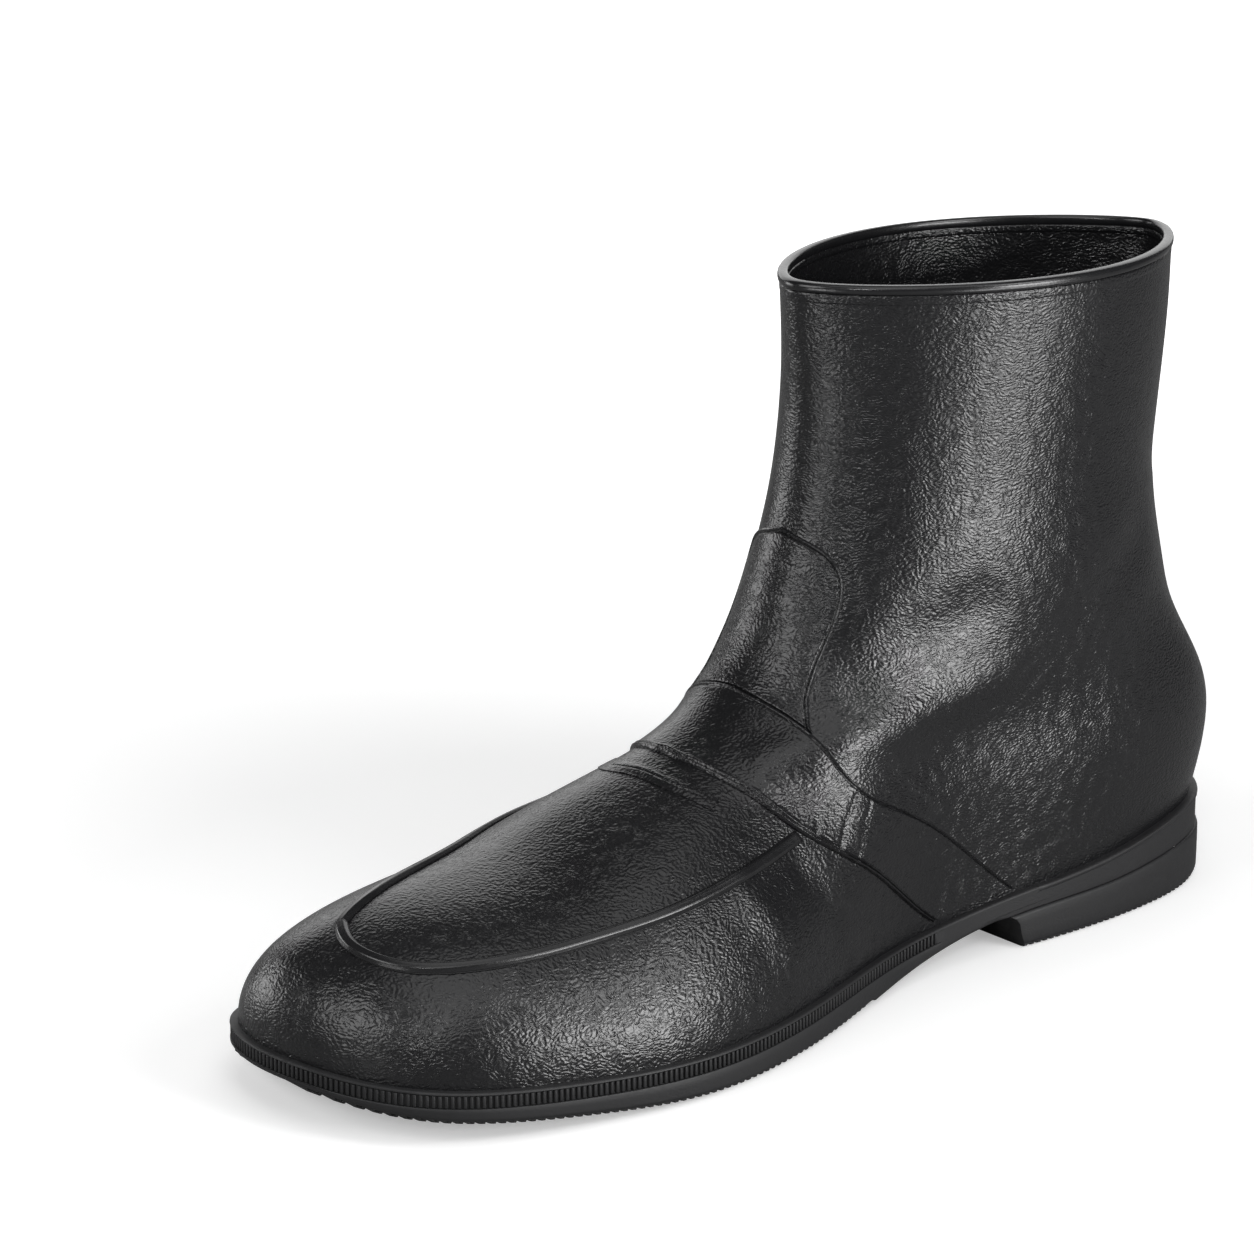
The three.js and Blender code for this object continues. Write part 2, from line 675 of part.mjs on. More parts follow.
function soleStrip(strip) {
  const shell = new Shell();
  const steps = strip.to - strip.from;
  const rings = Array.from({ length: steps + 1 }, (_, i) => {
    const column = clamp(strip.from + i, strip.from + STRIP_END, strip.to - STRIP_END);
    const round = roundOf(column, COLUMNS);
    const corner = (out, drop) => shell.add(solePoint(round, out, (s) => soleTop(s) - drop));
    const inner = WELT - STRIP_THICKNESS;
    return [corner(inner, strip.height), corner(WELT, strip.height), corner(WELT, 0), corner(inner, 0)];
  });
  for (let i = 0; i < steps; i++) {
    for (let j = 0; j < 4; j++) {
      const n = (j + 1) % 4;
      shell.quad(rings[i][j], rings[i + 1][j], rings[i + 1][n], rings[i][n]);
    }
  }
  const last = rings[steps];
  shell.quad(rings[0][0], rings[0][1], rings[0][2], rings[0][3]);
  shell.quad(last[3], last[2], last[1], last[0]);
  piece(strip.name, shell, SHADE.sole, 0.55);
}
STRIPS.forEach(soleStrip);

// The heel block, under the back of the outsole, with a leaning breast.
function heelBlock() {
  const turns = 2 * HEEL_COLUMNS;
  const ring = (breast, out, heightAt) => {
    const start = Math.acos((2 * (breast - HEEL_BACK)) / FOOT_LENGTH - 1) / Math.PI;
    return Array.from({ length: turns }, (_, i) => {
      const turn = lerp(start, 2 - start, i / (turns - 1));
      return solePoint(turn > 1 ? turn - 2 : turn, out, heightAt);
    });
  };
  const shell = new Shell();
  const top = (s) => treadHeight(s) - GAP;
  const foot = HEEL_LENGTH - HEEL_BREAST_LEAN;
  const rings = [
    ring(foot, WELT + HEEL_FLARE - HEEL_ROUNDING, () => 0),
    ring(foot, WELT + HEEL_FLARE - HEEL_ROUNDING / 4, () => HEEL_ROUNDING),
    ring(lerp(foot, HEEL_LENGTH, 0.5), WELT + HEEL_FLARE, (s) => Math.min(HEEL_FLARE_HEIGHT, top(s) / 2)),
    ring(HEEL_LENGTH, WELT + HEEL_FLARE / 3, top),
  ].map((points) => points.map((point) => shell.add(point)));
  for (let j = 0; j < rings.length - 1; j++) {
    for (let i = 0; i < turns; i++) {
      const n = (i + 1) % turns;
      shell.quad(rings[j][i], rings[j][n], rings[j + 1][n], rings[j + 1][i]);
    }
  }
  const [sole, , , seat] = rings;
  for (let i = 0; i < HEEL_COLUMNS - 1; i++) {
    const m = turns - 1 - i;
    shell.quad(sole[i], sole[m], sole[m - 1], sole[i + 1]);
    shell.quad(seat[i], seat[i + 1], seat[m - 1], seat[m]);
  }
  piece("heel_block", shell, SHADE.sole, 0.6);
}
heelBlock();

// The rim binding: a ring on the top edge of the wall.
function rimBinding() {
  const shell = new Shell();
  const count = 2 * RIBS;
  const section = [
    [BINDING_PROUD, 0],
    [BINDING_PROUD, 0.75],
    [-0.1, 1],
    [-WALL + 0.1, 1],
    [-WALL - BINDING_PROUD / 2, 0.75],
    [-WALL - BINDING_PROUD / 2, 0],
  ];
  const rings = Array.from({ length: count }, (_, i) => {
    const round = roundOf(i, count);
    return section.map(([out, rise]) => {
      const point = offsetPoint(1, round, out);
      point.z = outerPoint(1, round).z + GAP + rise * BINDING_HEIGHT;
      return shell.add(point);
    });
  });
  for (let i = 0; i < count; i++) {
    const n = (i + 1) % count;
    for (let j = 0; j < section.length; j++) {
      const k = (j + 1) % section.length;
      shell.quad(rings[i][j], rings[n][j], rings[n][k], rings[i][k]);
    }
  }
  piece("rim_binding", shell, SHADE.trim, 0.4);
}
rimBinding();

// The group's origin: bottom centre of everything built.
const box = new THREE.Box3().setFromObject(boot);
const centre = box.getCenter(new THREE.Vector3());
boot.position.set(-centre.x, -centre.y, -box.min.z);

export default boot;
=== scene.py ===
"""A black moulded rubber overshoe: ankle high, with an instep saddle, a raised apron seam and a ribbed welt.

Sizes are worked in millimetres, heel to toe along a station line.
Every piece ends in metres, in the row's frame.
"""
import math

import bpy
import numpy as np
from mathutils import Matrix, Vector


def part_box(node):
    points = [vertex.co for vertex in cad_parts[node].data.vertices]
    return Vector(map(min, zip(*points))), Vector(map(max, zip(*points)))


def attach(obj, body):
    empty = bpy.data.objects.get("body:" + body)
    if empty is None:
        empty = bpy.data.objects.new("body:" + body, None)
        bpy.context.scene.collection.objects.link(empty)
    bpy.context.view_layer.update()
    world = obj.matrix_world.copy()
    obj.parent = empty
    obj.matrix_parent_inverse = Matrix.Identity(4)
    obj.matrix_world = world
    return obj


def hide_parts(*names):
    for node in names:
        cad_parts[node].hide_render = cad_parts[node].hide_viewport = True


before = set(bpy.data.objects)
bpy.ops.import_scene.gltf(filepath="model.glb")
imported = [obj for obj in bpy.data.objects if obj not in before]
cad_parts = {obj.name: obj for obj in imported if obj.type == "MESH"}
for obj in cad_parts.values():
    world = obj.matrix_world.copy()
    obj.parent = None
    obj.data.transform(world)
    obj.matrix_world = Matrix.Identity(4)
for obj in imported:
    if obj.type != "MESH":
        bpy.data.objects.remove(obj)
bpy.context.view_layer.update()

# Sizes of the overshoe, in millimetres
SOLE_LENGTH = 309.0
BALL_WIDTH = 104.0
SHAFT_WIDTH = 79.0
SEAT_HEIGHT = 24.5
INSTEP_HEIGHT = 118.0
RIM_HEIGHT = 180.5
WALL = 2.2
FLOOR_PLATE = 3.0
WELT = 2.0  # how far the sole stands out past the upper
SKIN_GAP = 0.5  # what the solids of the trim keep clear of the upper
HEEL_LENGTH = 94.0
HEEL_BREAST_LEAN = 5.0
HEEL_FLARE = 0.8
HEEL_ROUNDING = 1.4
TREAD_DEPTH = 0.85
TREAD_PITCH = 2.4
RIB_PITCH = 1.5
WELT_END = 0.575  # where round the sole its ribs end
HALF_BALL = BALL_WIDTH / 2
HEEL_BACK = WELT
TOE_TIP = SOLE_LENGTH - WELT
FOOT_LENGTH = TOE_TIP - HEEL_BACK
FOOT_TOP = 0.48  # up share where the shaft's width begins to take over from the foot's
SHAFT_FOOT = 0.95  # up share where it has


def table(columns, *rows):
    """A short table as a dictionary of columns."""
    return dict(zip(columns.split(), np.array(rows, float).T))


FOOTPRINT = table(
    "at lateral medial centre",
    (0.0, 0.0, 0.0, 0.0),
    (0.05, 0.44, 0.43, 0.0),
    (0.13, 0.57, 0.55, 0.0),
    (0.27, 0.61, 0.59, 0.0),
    (0.35, 0.6, 0.58, 0.0),
    (0.42, 0.65, 0.6, 0.0),
    (0.56, 0.92, 0.74, 0.0),
    (0.7, 1.09, 0.89, 0.0),
    (0.82, 1.02, 0.88, -0.01),
    (0.92, 0.86, 0.68, -0.035),
    (0.975, 0.58, 0.45, -0.065),
    (1.0, 0.0, 0.0, -0.08),
)
SOLE = table(
    "at feather tread",
    (0.0, 1.0, 0.6),
    (0.07, 0.94, 0.56),
    (0.165, 0.775, 0.47),
    (0.29, 0.635, 0.41),
    (0.37, 0.53, 0.26),
    (0.48, 0.47, 0.05),
    (0.6, 0.445, 0.0),
    (0.73, 0.445, 0.02),
    (0.82, 0.48, 0.1),
    (0.905, 0.547, 0.2),
    (0.955, 0.6, 0.28),
    (1.0, 0.67, 0.41),
)
RIDGE = table(
    "at up",
    (1.0, 0.139),
    (0.997, 0.21),
    (0.982, 0.28),
    (0.954, 0.34),
    (0.905, 0.385),
    (0.83, 0.41),
    (0.757, 0.437),
    (0.697, 0.487),
    (0.632, 0.541),
    (0.575, 0.592),
    (0.537, 0.655),
    (0.509, 0.75),
    (0.49, 0.87),
    (0.472, 1.01),
    (0.46, 1.3),
    (0.456, 1.65),
    (0.462, 2.0),
)
BACK = table(
    "up back",
    (0.2, -0.005),
    (0.34, -0.021),
    (0.44, -0.022),
    (0.53, -0.009),
    (0.61, 0.01),
    (0.7, 0.029),
    (0.8, 0.039),
    (0.9, 0.047),
    (1.0, 0.053),
    (1.22, 0.052),
    (1.5, 0.044),
    (1.8, 0.036),
    (2.0, 0.033),
)
SHAFT = table(
    "up width point",
    (0.3, 0.98, 0.0),
    (0.7, 0.96, 0.05),
    (1.0, 0.92, 0.1),
    (1.4, 0.93, 0.2),
    (2.0, 1.0, 0.45),
)
SECTION = table(
    "at wall crown inner",
    (0.0, 2.0, 2.0, 2.0),
    (0.45, 1.9, 2.0, 2.0),
    (0.6, 1.9, 2.0, 2.0),
    (0.75, 2.0, 2.2, 1.95),
    (0.9, 2.1, 2.2, 1.75),
    (1.0, 2.1, 2.1, 1.8),
)
SWELL = {"at": 0.16, "up": 0.42, "along": 0.17, "tall": 0.28, "swell": 0.08}

# Seams on the upper. round: 0 at the front line, 1 at the back line, negative on the medial side.
SADDLE_FRONT = table(
    "round up",
    (0.0, 0.516),
    (0.05, 0.511),
    (0.103, 0.5),
    (0.197, 0.459),
    (0.261, 0.416),
    (0.314, 0.366),
    (0.37, 0.295),
    (0.435, 0.196),
    (0.482, 0.131),
    (0.532, 0.062),
    (0.575, 0.0),
)
SADDLE_BACK = table(
    "round up",
    (0.0, 0.615),
    (0.069, 0.608),
    (0.163, 0.581),
    (0.265, 0.52),
    (0.367, 0.411),
    (0.443, 0.305),
    (0.518, 0.19),
    (0.58, 0.096),
    (0.64, 0.0),
)
# foot: where round the saddle's back edge each place of the tongue's edge stands.
TONGUE_EDGE = table(
    "round up foot",
    (0.0, 0.774, 0.0),
    (0.033, 0.771, 0.028),
    (0.101, 0.76, 0.075),
    (0.152, 0.741, 0.104),
    (0.177, 0.718, 0.118),
    (0.181, 0.697, 0.127),
    (0.173, 0.664, 0.138),
    (0.166, 0.636, 0.148),
    (0.173, 0.611, 0.161),
    (0.2, 0.581, 0.193),
    (0.23, 0.5535, 0.229),
    (0.262, 0.523, 0.262),
)
APRON_SEAM = table(
    "round up",
    (-0.349, 0.329),
    (-0.338, 0.318),
    (-0.31, 0.283),
    (-0.28, 0.258),
    (-0.24, 0.235),
    (-0.2, 0.22),
    (-0.15, 0.207),
    (-0.1, 0.193),
    (-0.06, 0.176),
    (-0.025, 0.154),
    (0.0, 0.1375),
    (0.03, 0.122),
    (0.067, 0.1129),
    (0.105, 0.11),
    (0.147, 0.1135),
    (0.189, 0.1205),
    (0.228, 0.13),
    (0.261, 0.145),
    (0.289, 0.166),
    (0.314, 0.195),
    (0.337, 0.225),
    (0.357, 0.254),
    (0.373, 0.285),
)
TAPE_LINE = table(
    "round up",
    (-0.355, 0.985),
    (-0.342, 0.85),
    (-0.345, 0.72),
    (-0.362, 0.6),
    (-0.41, 0.47),
    (-0.452, 0.345),
)


def natural_cubic(x, y):
    """A natural cubic through the points, read for whole arrays."""
    count = len(x)
    bend = np.zeros(count)
    carry = np.zeros(count)
    for i in range(1, count - 1):
        before = x[i] - x[i - 1]
        share = before / (x[i + 1] - x[i - 1])
        pivot = share * bend[i - 1] + 2
        turn = (y[i + 1] - y[i]) / (x[i + 1] - x[i]) - (y[i] - y[i - 1]) / before
        bend[i] = (share - 1) / pivot
        carry[i] = (6 * turn / (x[i + 1] - x[i - 1]) - share * carry[i - 1]) / pivot
    bend[-1] = 0
    for i in range(count - 2, -1, -1):
        bend[i] = bend[i] * bend[i + 1] + carry[i]

    def read(at):
        at = np.asarray(at, float)
        i = np.searchsorted(x[1:-1], at, side="left")
        run = x[i + 1] - x[i]
        a = (x[i + 1] - at) / run
        b = (at - x[i]) / run
        curve = ((a**3 - a) * bend[i] + (b**3 - b) * bend[i + 1]) * run * run / 6
        return a * y[i] + b * y[i + 1] + curve

    return read


def lerp(a, b, t):
    return a + (b - a) * t


def smoothstep(x, low, high):
    t = np.clip((x - low) / (high - low), 0, 1)
    return t * t * (3 - 2 * t)


def height_of(up):
    """Height over the floor of an up share: 0 floor, 1 top of the tongue, 2 rim."""
    return np.where(up < 1, up * INSTEP_HEIGHT, lerp(INSTEP_HEIGHT, RIM_HEIGHT, up - 1))


def up_of(z):
    above = 1 + (z - INSTEP_HEIGHT) / (RIM_HEIGHT - INSTEP_HEIGHT)
    return np.where(z < INSTEP_HEIGHT, z / INSTEP_HEIGHT, above)


def angle_of(at):
    return np.arccos(1 - 2 * np.clip(at, 0, 1)) / np.pi


footprint_angle = angle_of(FOOTPRINT["at"])
lateral_plan = natural_cubic(footprint_angle, FOOTPRINT["lateral"])
medial_plan = natural_cubic(footprint_angle, FOOTPRINT["medial"])
centre_plan = natural_cubic(FOOTPRINT["at"], FOOTPRINT["centre"])
feather_plan = natural_cubic(SOLE["at"], SOLE["feather"])
tread_plan = natural_cubic(SOLE["at"], SOLE["tread"])
wall_plan = natural_cubic(SECTION["at"], SECTION["wall"])
crown_plan = natural_cubic(SECTION["at"], SECTION["crown"])
inner_crown_plan = natural_cubic(SECTION["at"], SECTION["inner"])
back_plan = natural_cubic(BACK["up"], BACK["back"])
shaft_width_plan = natural_cubic(SHAFT["up"], SHAFT["width"])
shaft_point_plan = natural_cubic(SHAFT["up"], SHAFT["point"])


def share_of(s):
    return np.clip((s - HEEL_BACK) / FOOT_LENGTH, 0, 1)


def feather_height(s):
    return SEAT_HEIGHT * feather_plan(share_of(s))


def tread_height(s):
    return np.maximum(0, SEAT_HEIGHT * tread_plan(share_of(s)))


def back_station(z):
    return HEEL_BACK + FOOT_LENGTH * back_plan(up_of(z))


def running_length(s, z):
    return np.concatenate([[0], np.cumsum(np.hypot(np.diff(s), np.diff(z)))])


def run_along(points):
    """Running length along a line of places."""
    return np.concatenate([[0], np.cumsum(np.linalg.norm(np.diff(points, axis=0), axis=-1))])


LINE_STEPS = 1200
coarse_s = HEEL_BACK + RIDGE["at"] * FOOT_LENGTH
coarse_z = height_of(RIDGE["up"])
coarse_run = running_length(coarse_s, coarse_z)
even_run = np.linspace(0, coarse_run[-1], LINE_STEPS + 1)
ridge_s = natural_cubic(coarse_run, coarse_s)(even_run)
ridge_z = natural_cubic(coarse_run, coarse_z)(even_run)
ridge_run = running_length(ridge_s, ridge_z)
rear_z = np.linspace(SEAT_HEIGHT, RIM_HEIGHT, LINE_STEPS + 1)
rear_s = back_station(rear_z)
rear_run = running_length(rear_s, rear_z)

BEND_HEIGHT = 0.95 * INSTEP_HEIGHT
BEND_CLIMB = 0.16
SWELL_HOLD = 0.2  # keeps the heel's swell off the front and back lines
bend_at = int(np.argmax(ridge_z > BEND_HEIGHT))
bend_s = ridge_s[bend_at]
bend_z = ridge_z[bend_at]
bend_slope = (ridge_z[bend_at + 1] - bend_z) / (bend_s - ridge_s[bend_at + 1])


def vamp_height(s):
    """Height of the vamp's top at a station. Behind the instep's bend it climbs away from the shaft."""
    before = np.interp(s, ridge_s[bend_at::-1], ridge_z[bend_at::-1])
    past = bend_s - s
    return np.where(s >= bend_s, before, bend_z + bend_slope * past + BEND_CLIMB * past * past)


def half_width(s, z, lateral):
    """Half width of the upper at a station and height."""
    back = back_station(z)
    at = np.clip((s - back) / (TOE_TIP - back), 0, 1)
    angle = angle_of(at)
    plan = HALF_BALL * np.where(lateral, lateral_plan(angle), medial_plan(angle))
    feather = feather_height(s)
    rise = np.clip((z - feather) / (vamp_height(s) - feather), 0, 1)
    crown = np.where(lateral, crown_plan(at), inner_crown_plan(at))
    foot = plan * (1 - rise ** wall_plan(at)) ** (1 / crown)
    up = up_of(z)
    front = np.interp(z, ridge_z, ridge_s)
    across = np.sqrt(np.clip(4 * (s - back) * (front - s), 0, None)) / (front - back)
    point = np.clip(shaft_point_plan(up), 0, 1)
    shaft = (SHAFT_WIDTH / 2) * shaft_width_plan(up) * lerp(across, across * across, point)
    width = lerp(foot, shaft, smoothstep(up, FOOT_TOP, SHAFT_FOOT))
    hold = width / (width + SWELL_HOLD * HALF_BALL)
    along = ((s - HEEL_BACK - SWELL["at"] * FOOT_LENGTH) / (SWELL["along"] * FOOT_LENGTH)) ** 2
    tall = ((z - SWELL["up"] * INSTEP_HEIGHT) / (SWELL["tall"] * INSTEP_HEIGHT)) ** 2
    return width + SWELL["swell"] * HALF_BALL * np.exp(-along - tall) * hold


def outer_point(up, around):
    """A place on the upper's plain outer face."""
    up, around = np.broadcast_arrays(np.asarray(up, float), np.asarray(around, float))
    front_s = np.interp(up * ridge_run[-1], ridge_run, ridge_s)
    front_z = np.interp(up * ridge_run[-1], ridge_run, ridge_z)
    back_s = np.interp(up * rear_run[-1], rear_run, rear_s)
    back_z = np.interp(up * rear_run[-1], rear_run, rear_z)
    share = (1 + np.cos(np.pi * around)) / 2
    s = lerp(back_s, front_s, share)
    straight = lerp(feather_height(HEEL_BACK), feather_height(TOE_TIP), share)
    level = feather_height(lerp(HEEL_BACK, TOE_TIP, share)) - straight
    z = lerp(back_z, front_z, share) + (1 - up) ** 2 * level
    fade = 1 - smoothstep(up_of(z), FOOT_TOP, SHAFT_FOOT)
    centre = HALF_BALL * centre_plan(share_of(s)) * fade
    ends = (around == 0) | (np.abs(around) == 1)
    width = np.where(ends, 0, np.sign(around) * half_width(s, z, around >= 0))
    return np.stack([centre + width, SOLE_LENGTH / 2 - s, z], -1)


STEP = 0.004  # the step of up and round over which a normal is read


def wrap(around):
    return np.where(around > 1, around - 2, np.where(around < -1, around + 2, around))


def unit(vectors):
    return vectors / np.maximum(np.linalg.norm(vectors, axis=-1, keepdims=True), 1e-12)


def outer_normal(up, around):
    up, around = np.broadcast_arrays(np.asarray(up, float), np.asarray(around, float))
    rise = outer_point(np.clip(up + STEP, 0, 1), around) - outer_point(np.clip(up - STEP, 0, 1), around)
    turn = outer_point(up, wrap(around + STEP)) - outer_point(up, wrap(around - STEP))
    return unit(np.cross(turn, rise))


def sole_plan(around, out):
    """The feather line moved outwards, level."""
    around = np.asarray(around, float)
    turn = outer_point(0, wrap(around + STEP)) - outer_point(0, wrap(around - STEP))
    away = np.stack([turn[..., 1], -turn[..., 0], np.zeros_like(around)], -1)
    return outer_point(0, around) + unit(away) * np.asarray(out, float)[..., None]


def station(points):
    return SOLE_LENGTH / 2 - points[..., 1]


def seam_line(rows):
    """Reads a seam's table along its own length, 0 to 1."""
    run = running_length(rows["round"], rows["up"])
    around = natural_cubic(run, rows["round"])
    up = natural_cubic(run, rows["up"])
    return lambda share: (up(np.asarray(share) * run[-1]), around(np.asarray(share) * run[-1]))


def both_sides(rows):
    """A half seam and its mirror image in one line, from the medial end to the lateral end."""
    around = np.concatenate([-rows["round"][:0:-1], rows["round"]])
    up = np.concatenate([rows["up"][:0:-1], rows["up"]])
    return seam_line({"round": around, "up": up})


saddle_front = both_sides(SADDLE_FRONT)
saddle_back = both_sides(SADDLE_BACK)
tongue_edge = both_sides(TONGUE_EDGE)
apron_seam = seam_line(APRON_SEAM)
tape_line = seam_line(TAPE_LINE)

# The row's frame has its origin under the middle of the whole part.
OUTLINE_PLACES = 64
around_sole = np.arange(OUTLINE_PLACES) / (OUTLINE_PLACES / 2)
outline = sole_plan(wrap(around_sole), np.full(OUTLINE_PLACES, WELT))
SHIFT = np.array(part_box("outsole")[0]) * 1000 - np.array([outline[:, 0].min(), outline[:, 1].min(), 0])


def in_row_frame(points):
    return (points + SHIFT) / 1000


# Soft folds of the rubber. Each: places (round, up) along it, how far it reaches and how high it stands,
# in millimetres.
FOLD_STEPS = 24
FOLDS = [
    ([(0.25, 0.478), (0.32, 0.475), (0.38, 0.475), (0.43, 0.468), (0.48, 0.464), (0.53, 0.475)], 6.5, 1.9),
    ([(0.24, 0.622), (0.3, 0.628), (0.36, 0.634), (0.42, 0.642)], 9.5, -1.9),
    ([(0.46, 0.335), (0.5, 0.365), (0.57, 0.365), (0.65, 0.35)], 12.0, -1.0),
    ([(0.6, 0.52), (0.66, 0.55), (0.72, 0.58)], 9.0, -0.7),
    ([(0.27, 0.44), (0.3, 0.45), (0.33, 0.43)], 7.0, 0.9),
    ([(0.36, 0.18), (0.41, 0.1), (0.43, 0.06)], 5.5, 0.9),
    ([(0.4, 0.2), (0.455, 0.1), (0.47, 0.05)], 4.5, -0.8),
    ([(-0.3, 0.485), (-0.4, 0.545), (-0.5, 0.6)], 8.0, 1.1),
    ([(-0.26, 0.66), (-0.36, 0.675), (-0.44, 0.7)], 11.0, -0.9),
    ([(-0.46, 0.335), (-0.55, 0.37), (-0.65, 0.35)], 12.0, -1.0),
]


def nearest(points, line):
    """Distance from each place to a line of straight steps."""
    flat = points.reshape(-1, 3)
    found = np.full(len(flat), np.inf)
    for start, end in zip(line[:-1], line[1:]):
        step = end - start
        share = np.clip((flat - start) @ step / max(step @ step, 1e-12), 0, 1)
        found = np.minimum(found, ((flat - start - share[:, None] * step) ** 2).sum(1))
    return np.sqrt(found).reshape(points.shape[:-1])


def divided(places):
    """A line through places on the upper, divided finely."""
    around = np.array([p[0] for p in places])
    up = np.array([p[1] for p in places])
    run = running_length(around, up)
    even = np.linspace(0, run[-1], FOLD_STEPS)
    return outer_point(np.interp(even, run, up), np.interp(even, run, around))


fold_lines = [(divided(places), reach, lift) for places, reach, lift in FOLDS]


def fold_lift(points):
    """How far the folds move the skin, each fading towards its two ends."""
    lift = np.zeros(points.shape[:-1])
    for line, reach, height in fold_lines:
        middle = (line[0] + line[-1]) / 2
        half = np.linalg.norm(line[-1] - line[0]) / 2
        fade = np.exp(-((np.linalg.norm(points - middle, axis=-1) / (half + reach)) ** 4))
        lift += height * fade * np.exp(-((nearest(points, line) / reach) ** 2))
    return lift


def skin(up, around, out=0.0):
    """A place on the folded upper, raised by out."""
    base = outer_point(up, around)
    return base + outer_normal(up, around) * (fold_lift(base) + out)[..., None]


def select_only(piece):
    bpy.ops.object.select_all(action="DESELECT")
    piece.select_set(True)
    bpy.context.view_layer.objects.active = piece


def sheet(name, points):
    """A grid primitive laid on the given places: rows by columns, in millimetres."""
    rows, columns = points.shape[:2]
    bpy.ops.object.select_all(action="DESELECT")
    bpy.ops.mesh.primitive_grid_add(x_subdivisions=columns - 1, y_subdivisions=rows - 1, size=2)
    piece = bpy.context.active_object
    piece.name = name
    corners = np.empty(len(piece.data.vertices) * 3)
    piece.data.vertices.foreach_get("co", corners)
    corners = corners.reshape(-1, 3)
    column = np.rint((corners[:, 0] + 1) / 2 * (columns - 1)).astype(int)
    row = np.rint((corners[:, 1] + 1) / 2 * (rows - 1)).astype(int)
    piece.data.vertices.foreach_set("co", in_row_frame(points[row, column]).ravel())
    piece.data.update()
    return piece


def weld(piece, outwards=False):
    """Merges corners that meet and, on a closed shell, turns its faces outwards."""
    select_only(piece)
    bpy.ops.object.mode_set(mode="EDIT")
    bpy.ops.mesh.select_all(action="SELECT")
    bpy.ops.mesh.remove_doubles(threshold=2e-6)
    bpy.ops.mesh.dissolve_degenerate(threshold=1e-7)
    if outwards:
        bpy.ops.mesh.normals_make_consistent(inside=False)
    bpy.ops.object.mode_set(mode="OBJECT")


def close_shell(piece, close):
    """Closes a shell's open edges with an operator and turns its faces outwards."""
    select_only(piece)
    bpy.ops.object.mode_set(mode="EDIT")
    bpy.ops.mesh.select_all(action="DESELECT")
    bpy.ops.mesh.select_mode(type="EDGE")
    bpy.ops.mesh.select_non_manifold()
    close()
    bpy.ops.mesh.select_all(action="SELECT")
    bpy.ops.mesh.normals_make_consistent(inside=False)
    bpy.ops.object.mode_set(mode="OBJECT")


def apply(piece, modifier):
    select_only(piece)
    bpy.ops.object.modifier_apply(modifier=modifier.name)


def thicken(piece, thickness):
    """Gives an open sheet its thickness, inwards, in millimetres."""
    wall = piece.modifiers.new("wall", "SOLIDIFY")
    wall.thickness = thickness / 1000
    wall.offset = -1
    apply(piece, wall)


def round_edges(piece, width, angle):
    """Rounds the edges that turn by more than an angle."""
    edge = piece.modifiers.new("edge", "BEVEL")
    edge.width = width / 1000
    edge.segments = 2
    edge.limit_method = "ANGLE"
    edge.angle_limit = math.radians(angle)
    apply(piece, edge)


def dress(piece, material, slot, *nodes, angle):
    """Shades a finished piece, gives it its material and sets it in the frame."""
    select_only(piece)
    bpy.ops.object.shade_smooth_by_angle(angle=math.radians(angle))
    piece.data.materials.clear()
    piece.data.materials.append(material)
    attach(piece, "root")
    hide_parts(*nodes)


# Materials
MIX_FIRST = 6  # the colour sockets of a Mix node
MIX_SECOND = 7
MIX_RESULT = 2
WRINKLE_BEND = (0.002, 0.002, 0.0026)  # how far noise bends the wrinkles, in metres
WRINKLE_SQUEEZE = (0.6, 0.6, 1.1)  # wrinkles run longer across than upwards
PATCH_RANGE = (0.38, 0.58)  # values of the patch noise from shallow to full depth
SHINE_RANGE = (0.35, 0.65)  # values of the tone noise from glossy to dull
BROAD_SHARE = 0.65
FINE_SHARE = 0.35


def new_group(name, inputs, outputs):
    """An empty shader group with inputs (name, kind, default) and outputs (name, kind)."""
    group = bpy.data.node_groups.new(name, "ShaderNodeTree")
    for label, kind, default in inputs:
        socket = group.interface.new_socket(name=label, in_out="INPUT", socket_type=kind)
        if default is not None:
            socket.default_value = default
    for label, kind in outputs:
        group.interface.new_socket(name=label, in_out="OUTPUT", socket_type=kind)
    return group, group.nodes.new("NodeGroupInput"), group.nodes.new("NodeGroupOutput")


def add_node(tree, kind, **values):
    """Adds a node and sets its unlinked inputs."""
    made = tree.nodes.new(kind)
    for label, value in values.items():
        made.inputs[label].default_value = value
    return made


def math_node(tree, operation, first, second):
    """A Math node over two sockets or numbers."""
    made = tree.nodes.new("ShaderNodeMath")
    made.operation = operation
    for slot, value in enumerate((first, second)):
        if isinstance(value, (int, float)):
            made.inputs[slot].default_value = value
        else:
            tree.links.new(value, made.inputs[slot])
    return made.outputs[0]


